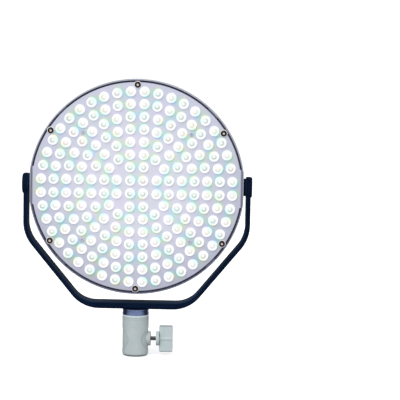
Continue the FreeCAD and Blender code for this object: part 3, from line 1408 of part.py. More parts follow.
def push_button(sign):
    """Button cap with a flange behind the cover and a stem in its switch."""
    centre_x = sign * BUTTON_X
    top_y = COVER_FACE_Y + BUTTON_PROUD
    flange_y = COVER_INSIDE_Y - BUTTON_FLANGE_THICKNESS
    outline = rounded_rectangle(centre_x, BUTTON_Z, BUTTON_WIDTH, BUTTON_HEIGHT, BUTTON_CORNER)
    cap = extruded(outline, (flange_y, top_y))
    cap = cap.makeFillet(BUTTON_EDGE, edges_at_y(cap, top_y))
    wide = rounded_rectangle(
        centre_x,
        BUTTON_Z,
        BUTTON_WIDTH + 2 * BUTTON_FLANGE,
        BUTTON_HEIGHT + 2 * BUTTON_FLANGE,
        BUTTON_CORNER + BUTTON_FLANGE,
    )
    flange = extruded(wide, (flange_y, COVER_INSIDE_Y))
    stem_foot_y = CONTROL_BOARD_BACK_Y + SWITCH_HEIGHT - BUTTON_STEM_HOLD
    stem = cylinder(BUTTON_STEM_RADIUS, flange_y - stem_foot_y, V(centre_x, stem_foot_y, BUTTON_Z), Y_AXIS)
    return cap.fuse([flange, stem])


def button_switches():
    """Two small switches that the button stems slide in."""
    top_y = CONTROL_BOARD_BACK_Y + SWITCH_HEIGHT
    well_depth = BUTTON_STEM_HOLD + BUTTON_TRAVEL + MOVING_CLEARANCE
    switches = []
    for sign in (-1, 1):
        centre_x = sign * BUTTON_X
        body = centred_box(centre_x, BUTTON_Z, SWITCH_SIDE, SWITCH_SIDE, (CONTROL_BOARD_BACK_Y, top_y))
        well = cylinder(
            BUTTON_STEM_RADIUS + RUNNING_CLEARANCE, well_depth, V(centre_x, top_y, BUTTON_Z), -Y_AXIS,
        )
        switches.append(body.cut(well))
    return switches


def rocker_axis_y():
    """Depth of the rocker's turning axis."""
    return COVER_FACE_Y - ROCKER_SINK


def power_rocker():
    """Rocker with a shallow valley across it, switched on: its upper half lies level."""
    axis_y = rocker_axis_y()
    foot_x = ROCKER_X - ROCKER_WIDTH / 2
    drum = cylinder(ROCKER_RADIUS, ROCKER_WIDTH, V(foot_x, axis_y, ROCKER_Z), X_AXIS)
    reach = 2 * ROCKER_RADIUS
    rise = reach * math.tan(math.radians(ROCKER_TILT))
    valley_y = axis_y + ROCKER_VALLEY
    corners = [
        V(foot_x, valley_y, ROCKER_Z),
        V(foot_x, valley_y + rise, ROCKER_Z + reach),
        V(foot_x, valley_y + reach, ROCKER_Z + reach),
        V(foot_x, valley_y + reach, ROCKER_Z - reach),
        V(foot_x, valley_y + rise, ROCKER_Z - reach),
        V(foot_x, valley_y, ROCKER_Z),
    ]
    scoop = Part.Face(Part.makePolygon(corners)).extrude(V(ROCKER_WIDTH, 0, 0))
    drum = drum.cut(scoop)
    drum.rotate(V(ROCKER_X, axis_y, ROCKER_Z), X_AXIS, ROCKER_TILT)
    pin_length = ROCKER_WIDTH + 2 * ROCKER_PIN_LENGTH
    pin = cylinder(ROCKER_PIN_RADIUS, pin_length, V(ROCKER_X - pin_length / 2, axis_y, ROCKER_Z), X_AXIS)
    return drum.fuse(pin)


def rocker_frame():
    """Frame the rocker turns in: bezel on the cover and a body behind it."""
    axis_y = rocker_axis_y()
    bezel_y = COVER_FACE_Y + ROCKER_BEZEL
    bezel = centred_box(ROCKER_X, ROCKER_Z, ROCKER_FRAME_WIDTH + 2 * ROCKER_BODY_WALL, ROCKER_FRAME_HEIGHT,
                        (COVER_FACE_Y, bezel_y))
    inner_width = ROCKER_WIDTH + 2 * MOVING_CLEARANCE
    body = centred_box(
        ROCKER_X,
        ROCKER_Z,
        inner_width + 2 * ROCKER_BODY_WALL,
        2 * ROCKER_BODY_HALF_HEIGHT,
        (CONTROL_BOARD_BACK_Y + ROCKER_FRAME_FOOT_GAP, COVER_FACE_Y),
    )
    frame = bezel.fuse(body)
    foot_x = ROCKER_X - inner_width / 2
    room = cylinder(ROCKER_RADIUS + MOVING_CLEARANCE, inner_width, V(foot_x, axis_y, ROCKER_Z), X_AXIS)
    hole_length = inner_width + 2 * ROCKER_PIN_LENGTH
    hole_foot = V(ROCKER_X - hole_length / 2, axis_y, ROCKER_Z)
    pin_hole = cylinder(ROCKER_PIN_RADIUS + RUNNING_CLEARANCE, hole_length, hole_foot, X_AXIS)
    return frame.cut([room, pin_hole])


def inlet_screw_points():
    """The two flange screws of the power inlet, on opposite corners."""
    return [
        V(INLET_X - INLET_SCREW_X, 0, INLET_Z + INLET_SCREW_Z),
        V(INLET_X + INLET_SCREW_X, 0, INLET_Z - INLET_SCREW_Z),
    ]


def inlet_pin_points():
    """The four contacts of the power inlet."""
    points = []
    for corner in corner_points(INLET_PIN_SPREAD, INLET_PIN_SPREAD):
        points.append(V(INLET_X + corner.x, 0, INLET_Z + corner.z))
    return points


def inlet_shell():
    """Metal shell of the direct current inlet."""
    flange_y = COVER_FACE_Y + INLET_FLANGE_THICKNESS
    flange = extruded(
        rounded_rectangle(INLET_X, INLET_Z, INLET_FLANGE_WIDTH, INLET_FLANGE_HEIGHT, BUTTON_CORNER),
        (COVER_FACE_Y, flange_y),
    )
    well_foot_y = flange_y - INLET_DEPTH
    barrel = cylinder(INLET_BARREL_RADIUS, flange_y - well_foot_y, V(INLET_X, well_foot_y, INLET_Z), Y_AXIS)
    holes = [cylinder(INLET_WELL_RADIUS, INLET_DEPTH, V(INLET_X, well_foot_y, INLET_Z), Y_AXIS)]
    for point in inlet_screw_points():
        hole_radius = INLET_SCREW_RADIUS + ASSEMBLY_CLEARANCE
        holes.append(cylinder(hole_radius, INLET_FLANGE_THICKNESS, at_depth(point, COVER_FACE_Y), Y_AXIS))
    return flange.fuse(barrel).cut(holes)


def inlet_core():
    """Insulating core at the bottom of the inlet's well."""
    foot_y = COVER_FACE_Y + INLET_FLANGE_THICKNESS - INLET_DEPTH
    core = cylinder(INLET_WELL_RADIUS, INLET_CORE_THICKNESS, V(INLET_X, foot_y, INLET_Z), Y_AXIS)
    holes = []
    for point in inlet_pin_points():
        holes.append(cylinder(INLET_PIN_RADIUS, INLET_CORE_THICKNESS, at_depth(point, foot_y), Y_AXIS))
    return core.cut(holes)


def inlet_pins():
    """Four round contact pins with domed tips."""
    foot_y = COVER_FACE_Y + INLET_FLANGE_THICKNESS - INLET_DEPTH
    pins = []
    for point in inlet_pin_points():
        pin = cylinder(INLET_PIN_RADIUS, INLET_PIN_LENGTH, at_depth(point, foot_y), Y_AXIS)
        pins.append(pin.makeFillet(INLET_PIN_RADIUS / 2, edges_at_y(pin, foot_y + INLET_PIN_LENGTH)))
    return pins


def inlet_screws():
    """Two screws that hold the inlet to the cover."""
    seat_y = COVER_FACE_Y + INLET_FLANGE_THICKNESS
    screws = []
    for point in inlet_screw_points():
        head = cylinder(INLET_SCREW_HEAD_RADIUS, INLET_SCREW_HEAD_HEIGHT, at_depth(point, seat_y), Y_AXIS)
        top_edges = edges_at_y(head, seat_y + INLET_SCREW_HEAD_HEIGHT)
        head = head.makeFillet(INLET_SCREW_HEAD_HEIGHT / 2, top_edges)
        shank = cylinder(INLET_SCREW_RADIUS, INLET_SCREW_LENGTH, at_depth(point, seat_y), -Y_AXIS)
        screws.append(head.fuse(shank))
    return screws


def write_stand_parts():
    """Everything under the yoke bar."""
    write("stand_socket", [stand_socket()])
    write("socket_bolt", [socket_bolt()])
    write("socket_collar", [socket_collar()])
    write("clamp_insert", [clamp_insert()])
    write("clamp_pad", [clamp_pad()])
    write("clamp_screw", [clamp_screw()])
    write("clamp_knob", [clamp_knob()])


def write_yoke_parts():
    """The bar and the pivots on both sides."""
    write_panel("yoke_bar", [yoke_bar()])
    pieces = {
        "pivot_cap": pivot_cap(),
        "friction_washer": friction_washer(),
        "pivot_bolt": pivot_bolt(),
        "pivot_insert": pivot_insert(),
    }
    for name, piece in pieces.items():
        write_panel(name + "_right", [piece])
        write_panel(name + "_left", [mirrored(piece)])


def write_lamp_parts():
    """The housing, the face and everything inside."""
    write_panel("rear_housing", [rear_housing()])
    write_panel("face_plate", [face_plate()])
    write_panel("rim_seal", [rim_seal()])
    write_panel("rim_screws", rim_screws())
    write_panel("rim_washers", rim_washers())
    write_panel("inner_screws", inner_screws())
    for number, (x_sign, z_sign) in enumerate(quadrant_signs(), start=1):
        write_panel("led_board_" + str(number), [led_board(x_sign, z_sign)])
    write_panel("led_chips", led_chips())
    write_panel("led_lenses", led_lenses())
    write_panel("heat_spreader", [heat_spreader()])
    write_panel("board_links", board_links())
    write_panel("driver_board", [driver_board()])
    write_panel("driver_screws", board_screws(driver_post_points(), DRIVER_FRONT_Y))
    write_panel("driver_chokes", driver_chokes())
    write_panel("driver_capacitors", driver_capacitors())
    write_panel("driver_transformer", [driver_transformer()])
    write_panel("control_link", [control_link()])


def write_control_parts():
    """The control cover on the back and everything in it."""
    write_panel("control_cover", [control_cover()])
    write_panel("cover_screws", cover_screws())
    write_panel("control_board", [control_board()])
    write_panel("control_screws", board_screws(control_post_points(), CONTROL_BOARD_FRONT_Y))
    write_panel("display_module", [display_module()])
    write_panel("display_window", [display_window()])
    write_panel("encoder_bodies", encoder_bodies())
    write_panel("dimmer_shaft", [encoder_shaft(-1)])
    write_panel("dimmer_knob", [dial(-1)])
    write_panel("colour_shaft", [encoder_shaft(1)])
    write_panel("colour_knob", [dial(1)])
    write_panel("menu_button", [push_button(-1)])
    write_panel("mode_button", [push_button(1)])
    write_panel("button_switches", button_switches())
    write_panel("rocker_frame", [rocker_frame()])
    write_panel("power_rocker", [power_rocker()])
    write_panel("inlet_shell", [inlet_shell()])
    write_panel("inlet_core", [inlet_core()])
    write_panel("inlet_pins", inlet_pins())
    write_panel("inlet_screws", inlet_screws())


os.makedirs("parts", exist_ok=True)
write_stand_parts()
write_yoke_parts()
write_lamp_parts()
write_control_parts()
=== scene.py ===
"""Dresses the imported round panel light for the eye.

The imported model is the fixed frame. This script models the pieces that need a finer shape than
their solids have, gives every piece a finish, and sets up a plain pale studio with a camera.
"""

import math

import bpy
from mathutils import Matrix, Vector


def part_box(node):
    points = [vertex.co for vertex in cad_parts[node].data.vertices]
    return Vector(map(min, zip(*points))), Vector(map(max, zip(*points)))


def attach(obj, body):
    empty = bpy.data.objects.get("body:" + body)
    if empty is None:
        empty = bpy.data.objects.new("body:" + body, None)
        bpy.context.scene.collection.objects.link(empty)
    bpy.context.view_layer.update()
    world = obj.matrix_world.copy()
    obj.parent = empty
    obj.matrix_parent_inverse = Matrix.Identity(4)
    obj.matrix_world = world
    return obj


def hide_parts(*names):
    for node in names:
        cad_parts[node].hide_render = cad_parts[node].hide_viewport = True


bl_info = {
    "name": "Round panel light",
    "version": (1, 0, 0),
    "blender": (4, 5, 0),
    "location": "3D View > Sidebar > Panel Light",
    "description": "Models the fine pieces and finishes of a round LED panel light",
    "category": "Object",
}

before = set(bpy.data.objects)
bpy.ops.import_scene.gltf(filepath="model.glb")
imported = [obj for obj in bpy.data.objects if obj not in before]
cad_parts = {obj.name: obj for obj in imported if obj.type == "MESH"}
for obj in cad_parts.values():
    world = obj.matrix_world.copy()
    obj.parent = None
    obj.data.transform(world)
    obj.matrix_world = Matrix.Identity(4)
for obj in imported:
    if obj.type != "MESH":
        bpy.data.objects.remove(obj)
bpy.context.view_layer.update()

MM = 0.001

PIVOT_HEIGHT = 0.225
PLATE_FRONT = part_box("face_plate")[0].y
COVER_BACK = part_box("display_window")[1].y
INLET_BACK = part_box("inlet_screws")[1].y

# The lens lattice, in millimetres: the radius of each ring, how far the first lens of a quarter
# stands from the quarter's edge, and the radius and the height of a lens.
RING_RADII = (11.9, 27.45, 43.0, 59.35, 75.7, 92.05, 108.4, 124.75)
ROW_OFFSET = 8.9
LENS_RADIUS = 6.7
LENS_CROWN = 3.8

MATH = "ShaderNodeMath"
VECTOR = "ShaderNodeVectorMath"
SPLIT = "ShaderNodeSeparateXYZ"
RANGE = "ShaderNodeMapRange"
RAMP = "ShaderNodeValToRGB"
NOISE = "ShaderNodeTexNoise"
MIX = "ShaderNodeMix"
PLACE = "ShaderNodeTexCoord"
SHADER = "ShaderNodeBsdfPrincipled"

TIMES, PLUS, LESS = ({"operation": job} for job in ("MULTIPLY", "ADD", "SUBTRACT"))
LENGTH, DOT = ({"operation": job} for job in ("LENGTH", "DOT_PRODUCT"))
SMOOTH = {"interpolation_type": "SMOOTHSTEP"}
# A mix of colours: its setting, the inputs of its two colours and the output of its result.
COLOURS = {"data_type": "RGBA"}
FIRST, SECOND, MIXED = 6, 7, 2


def rgb(code):
    """Turns an sRGB hex value, such as "c8ccdd", into linear colour with alpha."""
    channels = [int(code[at : at + 2], 16) / 255 for at in (0, 2, 4)]
    linear = [c / 12.92 if c <= 0.04045 else ((c + 0.055) / 1.055) ** 2.4 for c in channels]
    return (*linear, 1.0)


def add(tree, kind, settings=None, links=None):
    """Adds a shader node, then sets its options and inputs and links its inputs.

    A setting whose key is a number or the name of an input goes to that input, "stops" goes to
    the colour ramp, and any other goes to the node itself.
    """
    made = tree.nodes.new(kind)
    for key, value in (settings or {}).items():
        if key == "stops":
            ramp = made.color_ramp
            ramp.elements.remove(ramp.elements[1])
            ramp.elements[0].position, ramp.elements[0].color = value[0]
            for place, colour in value[1:]:
                ramp.elements.new(place).color = colour
        elif isinstance(key, int) or key in made.inputs:
            made.inputs[key].default_value = value
        else:
            setattr(made, key, value)
    for key, (source, output) in (links or {}).items():
        tree.links.new(source.outputs[output], made.inputs[key])
    return made


def part_of(material, kind):
    """The first node of a kind in a material, to build on."""
    return next(n for n in material.node_tree.nodes if n.bl_idname == kind)


def lay_over(material, amount, colour, blend="MIX"):
    """Lays a colour over a finish, as strongly as the amount says.

    The amount is a number or a node and its output, the colour a hex value or a node and its output.
    """
    tree = material.node_tree
    base = part_of(material, SHADER).inputs["Base Color"]
    settings, links = {**COLOURS, "blend_type": blend}, {}
    for key, value in ((0, amount), (SECOND, colour)):
        if isinstance(value, tuple):
            links[key] = value
        else:
            settings[key] = rgb(value) if isinstance(value, str) else value
    laid = add(tree, MIX, settings, links)
    tree.links.new(base.links[0].from_socket, laid.inputs[FIRST])
    tree.links.new(laid.outputs[MIXED], base)


def surface(name, colour, shade, roughness, metallic, grain, relief, mottle, crevice=0.0, **extra):
    """A finish of one material: two close colours in soft patches, and a fine grain in relief.

    Grain, relief and mottle are real sizes in millimetres, and so is crevice, the width of the
    painted shade that darkens inner corners. Extra values go to the shader.
    """
    material = bpy.data.materials.new(name)
    material.use_nodes = True
    tree = material.node_tree
    tree.nodes.clear()
    place = add(tree, PLACE)
    patches, grains = (
        add(
            tree,
            NOISE,
            {"Scale": 1 / (size * MM), "Detail": detail, "Roughness": coarseness},
            {"Vector": (place, "Object")},
        )
        for size, detail, coarseness in ((mottle, 4.0, 0.6), (grain, 3.0, 0.55))
    )
    stops = [(0.32, rgb(shade)), (0.66, rgb(colour))]
    tone = add(tree, RAMP, {"stops": stops}, {"Fac": (patches, "Fac")})
    gloss = add(
        tree,
        RANGE,
        {"To Min": max(roughness - 0.06, 0.02), "To Max": roughness + 0.06},
        {"Value": (grains, "Fac")},
    )
    bump = add(tree, "ShaderNodeBump", {"Distance": relief * MM}, {"Height": (grains, "Fac")})
    shader = add(
        tree,
        SHADER,
        {"Metallic": metallic, **extra},
        {"Base Color": (tone, "Color"), "Roughness": (gloss, "Result"), "Normal": (bump, "Normal")},
    )
    add(tree, "ShaderNodeOutputMaterial", links={"Surface": (shader, "BSDF")})
    # Painted shade: inner corners are darkened as far as the ambient occlusion reaches.
    if crevice:
        corner = add(tree, "ShaderNodeAmbientOcclusion", {"samples": 8, "Distance": crevice * MM})
        span = {"From Min": 0.35, "From Max": 0.92, "To Min": 0.45}
        shaded = add(tree, RANGE, span, {"Value": (corner, "AO")})
        lay_over(material, 1.0, (shaded, "Result"), "MULTIPLY")
    return material


def from_middle(tree, place, unit=1.0):
    """How far across and up a place lies from the middle of the face, in units of so many metres."""
    return add(
        tree,
        VECTOR,
        {"operation": "MULTIPLY_ADD", 1: (1 / unit, 0, 1 / unit), 2: (0, 0, -PIVOT_HEIGHT / unit)},
        {0: (place, "Object")},
    )


# The lit lenses. Each has a tint on one side, and its tinted light is painted on the face beside
# it as painted light. The tint runs round that side from blue through mint to yellow.
TINT_PLACES = (0.0, 0.28, 0.52, 0.74, 1.0)
LENS_TINTS = ("e4f5ff", "dcfffa", "defff0", "eaffe2", "fcffe4")
SPILL_LIGHT_TINTS = ("b9cfec", "b4dae4", "b9dfcf", "c8dfc6", "d9dcc8")
CRESCENT_GREYS = ("b0c6b8", "bacdca", "d2c3ba", "d8cbd0", "d0ccb2")
CRESCENT_PLACES = (0.0, 0.3, 0.5, 0.6, 1.0)
FACE_REACH = 150.0
LATTICE_REACH = FACE_REACH / LENS_RADIUS
RIGHT_ANGLE = math.pi / 2
DIAGONAL = math.sqrt(0.5)


def ring_start(number, radius):
    """How many steps there are between the lenses of a quarter of a ring, and the first one's angle.

    Angles are shares of a right angle.
    """
    steps = int(1.5 * number)
    return steps, math.asin(ROW_OFFSET / radius) / RIGHT_ANGLE if steps else 0.5


def ring_stops():
    """One stop a ring for a stepped ramp: the start of its band, then four facts about the ring.

    They are its radius, its first angle, the step to the next lens and 1 for every other ring.
    Radii are shares of the lattice's reach, and angles are shares of a right angle.
    """
    stops = []
    for number, radius in enumerate(RING_RADII):
        start = (radius + RING_RADII[number - 1]) / 2 if number else 0.0
        steps, first = ring_start(number, radius)
        step = (1 - 2 * first) / steps if steps else 1.0
        stops.append((start / FACE_REACH, (radius / FACE_REACH, first, step, number % 2)))
    return stops


def lens_lattice(tree, place):
    """Works out which lens is nearest to any place on the face, and where the place lies round it.

    The four quarters are alike, so they are folded on one another. All lengths are in lens radii.
    It returns the nodes that hold the place round the lens (offset, or beside where it is still
    folded), the distance from its middle (reach), the distance towards its tinted side (lit), the
    distance across that (across), 1 for every other lens (odd) and three chance values of the
    lens (own).
    """
    flat = from_middle(tree, place, LENS_RADIUS * MM)
    quarter = add(tree, VECTOR, {"operation": "SIGN"}, {0: (flat, "Vector")})
    folded = add(tree, VECTOR, {"operation": "ABSOLUTE"}, {0: (flat, "Vector")})
    parts = add(tree, SPLIT, links={"Vector": (folded, "Vector")})
    far = add(tree, VECTOR, LENGTH, {0: (folded, "Vector")})
    band = add(tree, MATH, {"operation": "DIVIDE", 1: LATTICE_REACH}, {0: (far, "Value")})
    ring = add(tree, RAMP, {"stops": ring_stops()}, {"Fac": (band, 0)})
    ring.color_ramp.interpolation = "CONSTANT"
    facts = add(tree, "ShaderNodeSeparateColor", links={"Color": (ring, "Color")})
    angle = add(tree, MATH, {"operation": "ARCTAN2"}, {0: (parts, "Z"), 1: (parts, "X")})
    share = add(tree, MATH, {"operation": "DIVIDE", 1: RIGHT_ANGLE}, {0: (angle, 0)})
    gone = add(tree, MATH, LESS, {0: (share, 0), 1: (facts, "Green")})
    steps = add(tree, MATH, {"operation": "DIVIDE"}, {0: (gone, 0), 1: (facts, "Blue")})
    index = add(tree, MATH, {"operation": "ROUND"}, {0: (steps, 0)})
    aim = add(
        tree,
        MATH,
        {"operation": "MULTIPLY_ADD"},
        {0: (index, 0), 1: (facts, "Blue"), 2: (facts, "Green")},
    )
    turn = add(tree, MATH, {**TIMES, 1: -RIGHT_ANGLE}, {0: (aim, 0)})
    arm_length = add(tree, MATH, {**TIMES, 1: LATTICE_REACH}, {0: (facts, "Red")})
    arm = add(tree, "ShaderNodeCombineXYZ", links={"X": (arm_length, 0)})
    middle = add(
        tree,
        "ShaderNodeVectorRotate",
        {"rotation_type": "Y_AXIS"},
        {"Vector": (arm, "Vector"), "Angle": (turn, 0)},
    )
    beside = add(tree, VECTOR, LESS, {0: (folded, 0), 1: (middle, "Vector")})
    across, along = (
        add(tree, VECTOR, {**DOT, 1: (DIAGONAL, 0, up)}, {0: (beside, 0)})
        for up in (DIAGONAL, -DIAGONAL)
    )
    count = add(tree, MATH, PLUS, {0: (index, 0), 1: (ring, "Alpha")})
    odd = add(tree, MATH, {"operation": "PINGPONG", 1: 1.0}, {0: (count, 0)})
    side = add(tree, MATH, {"operation": "MULTIPLY_ADD", 1: 2.0, 2: -1.0}, {0: (odd, 0)})
    seed = add(
        tree, "ShaderNodeCombineXYZ", links={"X": (index, 0), "Y": (facts, "Red"), "Z": (odd, 0)}
    )
    key = add(
        tree,
        VECTOR,
        {"operation": "MULTIPLY_ADD", 1: (7.3, 0, 3.1)},
        {0: (quarter, "Vector"), 2: (seed, "Vector")},
    )
    chance = add(tree, "ShaderNodeTexWhiteNoise", links={"Vector": (key, 0)})
    return {
        "beside": beside,
        "offset": add(tree, VECTOR, TIMES, {0: (beside, 0), 1: (quarter, 0)}),
        "reach": add(tree, VECTOR, LENGTH, {0: (beside, 0)}),
        "lit": add(tree, MATH, TIMES, {0: (along, "Value"), 1: (side, 0)}),
        "across": across,
        "odd": odd,
        "own": add(tree, "ShaderNodeSeparateColor", links={"Color": (chance, "Color")}),
    }


def tint_ramp(tree, lattice, colours):
    """The colour of a lens's tint at any place round it, with a shift of its own for each lens."""
    shift = add(tree, RANGE, {"To Min": 0.22, "To Max": 0.80}, {"Value": (lattice["own"], "Green")})
    across = (lattice["across"], "Value")
    hue = add(tree, MATH, {"operation": "MULTIPLY_ADD", 1: 0.36}, {0: across, 2: (shift, 0)})
    stops = [(at, rgb(code)) for at, code in zip(TINT_PLACES, colours)]
    return add(tree, RAMP, {"stops": stops}, {"Fac": (hue, 0)})


# Where a painted dark line, painted shade of the groove, carries the groove on across the side
# tabs of the face, and half its width.
TAB_LINE, TAB_LINE_HALF = 136.3, 1.0


def paint_face_light_and_shade(material):
    """Paints the lenses' mint, blue and yellow light on the face, shade on its rim, and its side
    lines.
    """
    tree, place = material.node_tree, part_of(material, PLACE)
    lattice = lens_lattice(tree, place)
    # Painted light: each lens's tinted light on the face beside its tinted side.
    tint = tint_ramp(tree, lattice, SPILL_LIGHT_TINTS)
    span = {**SMOOTH, "From Min": -0.15, "From Max": 1.15}
    side = add(tree, RANGE, span, {"Value": (lattice["lit"], 0)})
    span = {**SMOOTH, "From Min": 0.95, "From Max": 1.85, "To Min": 1.0, "To Max": 0.0}
    fade = add(tree, RANGE, span, {"Value": (lattice["reach"], "Value")})
    amount = add(tree, MATH, TIMES, {0: (side, 0), 1: (fade, 0)})
    lay_over(material, (amount, 0), (tint, "Color"))
    # Painted shade: away from the middle the face is darker, and more so below than above.
    far = add(tree, VECTOR, LENGTH, {0: (from_middle(tree, place), 0)})
    span = {"From Min": 60 * MM, "From Max": 135 * MM}
    outwards = add(tree, RANGE, span, {"Value": (far, "Value")})
    parts = add(tree, SPLIT, links={"Vector": (place, "Object")})
    span = {"From Min": PIVOT_HEIGHT - 110 * MM, "From Max": PIVOT_HEIGHT + 110 * MM}
    upwards = add(tree, RANGE, span, {"Value": (parts, "Z")})
    ends = {FIRST: rgb("dadce2"), SECOND: rgb("ecf0f4")}
    rim_shade = add(tree, MIX, {**COLOURS, **ends}, {0: (upwards, 0)})
    lay_over(material, (outwards, 0), (rim_shade, MIXED), "MULTIPLY")
    # Painted shade: a dark line that carries the groove on across the two side tabs.
    aside = add(tree, MATH, {"operation": "ABSOLUTE"}, {0: (parts, "X")})
    band = {"operation": "COMPARE", 1: TAB_LINE * MM, 2: TAB_LINE_HALF * MM}
    line = add(tree, MATH, band, {0: (aside, 0)})
    shade = add(tree, MATH, {**TIMES, 1: 0.9}, {0: (line, 0)})
    lay_over(material, (shade, 0), "74768e")


def lens_glow():
    """Clear moulded lenses over lit diodes: white, with a tinted side and a grey crescent."""
    material = bpy.data.materials.new("lit_moulded_lens")
    material.use_nodes = True
    tree = material.node_tree
    tree.nodes.clear()
    lattice = lens_lattice(tree, add(tree, PLACE))
    reach, across = (lattice["reach"], "Value"), (lattice["across"], "Value")
    odd, own = lattice["odd"], lattice["own"]
    tint = tint_ramp(tree, lattice, LENS_TINTS)
    edge = add(tree, RANGE, {**SMOOTH, "From Min": 0.15, "From Max": 0.95}, {"Value": reach})
    span = {**SMOOTH, "From Min": -0.10, "From Max": 0.70}
    side = add(tree, RANGE, span, {"Value": (lattice["lit"], 0)})
    amount = add(tree, MATH, TIMES, {0: (edge, 0), 1: (side, 0)})
    white = {**COLOURS, FIRST: rgb("ffffff")}
    tinted = add(tree, MIX, white, {0: (amount, 0), SECOND: (tint, "Color")})
    dark, clear = (0, 0, 0, 1), (1, 1, 1, 1)
    stops = [(0.10, dark), (0.32, clear), (0.44, clear), (0.66, dark)]
    ring = add(tree, RAMP, {"stops": stops}, {"Fac": reach})
    # The dark side of the ring lies below and outwards, and leans a little for each lens.
    lean = add(tree, RANGE, {"To Min": -0.6, "To Max": 0.6}, {"Value": (own, "Blue")})
    leaned = add(tree, MATH, TIMES, {0: across, 1: (lean, 0)})
    downwards, outwards = (0, 0, -0.8), (0.5, 0, 0)
    down = add(tree, VECTOR, {**DOT, 1: downwards}, {0: (lattice["offset"], 0)})
    outward = add(tree, VECTOR, {**DOT, 1: outwards}, {0: (lattice["beside"], 0)})
    slanted = add(tree, MATH, PLUS, {0: (down, "Value"), 1: (outward, "Value")})
    towards = add(tree, MATH, PLUS, {0: (slanted, 0), 1: (leaned, 0)})
    span = {**SMOOTH, "From Min": -0.40, "From Max": 0.30, "To Min": 0.30}
    arc = add(tree, RANGE, span, {"Value": (towards, 0)})
    depth = add(tree, MATH, {"operation": "MULTIPLY_ADD", 1: -0.25, 2: 0.95}, {0: (odd, 0)})
    crescent = add(tree, MATH, TIMES, {0: (ring, "Color"), 1: (arc, 0)})
    strength = add(tree, MATH, TIMES, {0: (crescent, 0), 1: (depth, 0)})
    half = add(tree, MATH, PLUS, {0: (odd, 0), 1: (own, "Red")})
    kind = add(tree, MATH, {**TIMES, 1: 0.5}, {0: (half, 0)})
    stops = [(at, rgb(code)) for at, code in zip(CRESCENT_PLACES, CRESCENT_GREYS)]
    grey = add(tree, RAMP, {"stops": stops}, {"Fac": (kind, 0)})
    layers = {0: (strength, 0), FIRST: (tinted, MIXED), SECOND: (grey, "Color")}
    marked = add(tree, MIX, COLOURS, layers)
    span = {**SMOOTH, "From Min": 0.84, "From Max": 1.04, "To Max": 0.8}
    rim = add(tree, RANGE, span, {"Value": reach})
    pale = {**COLOURS, SECOND: rgb("dcdee8")}
    light = add(tree, MIX, pale, {0: (rim, 0), FIRST: (marked, MIXED)})
    shader = add(
        tree,
        SHADER,
        {"Base Color": rgb("303438"), "Roughness": 0.18, "IOR": 1.49, "Emission Strength": 1.0},
        {"Emission Color": (light, MIXED)},
    )
    add(tree, "ShaderNodeOutputMaterial", links={"Surface": (shader, "BSDF")})
    material.cycles.emission_sampling = "NONE"
    return material


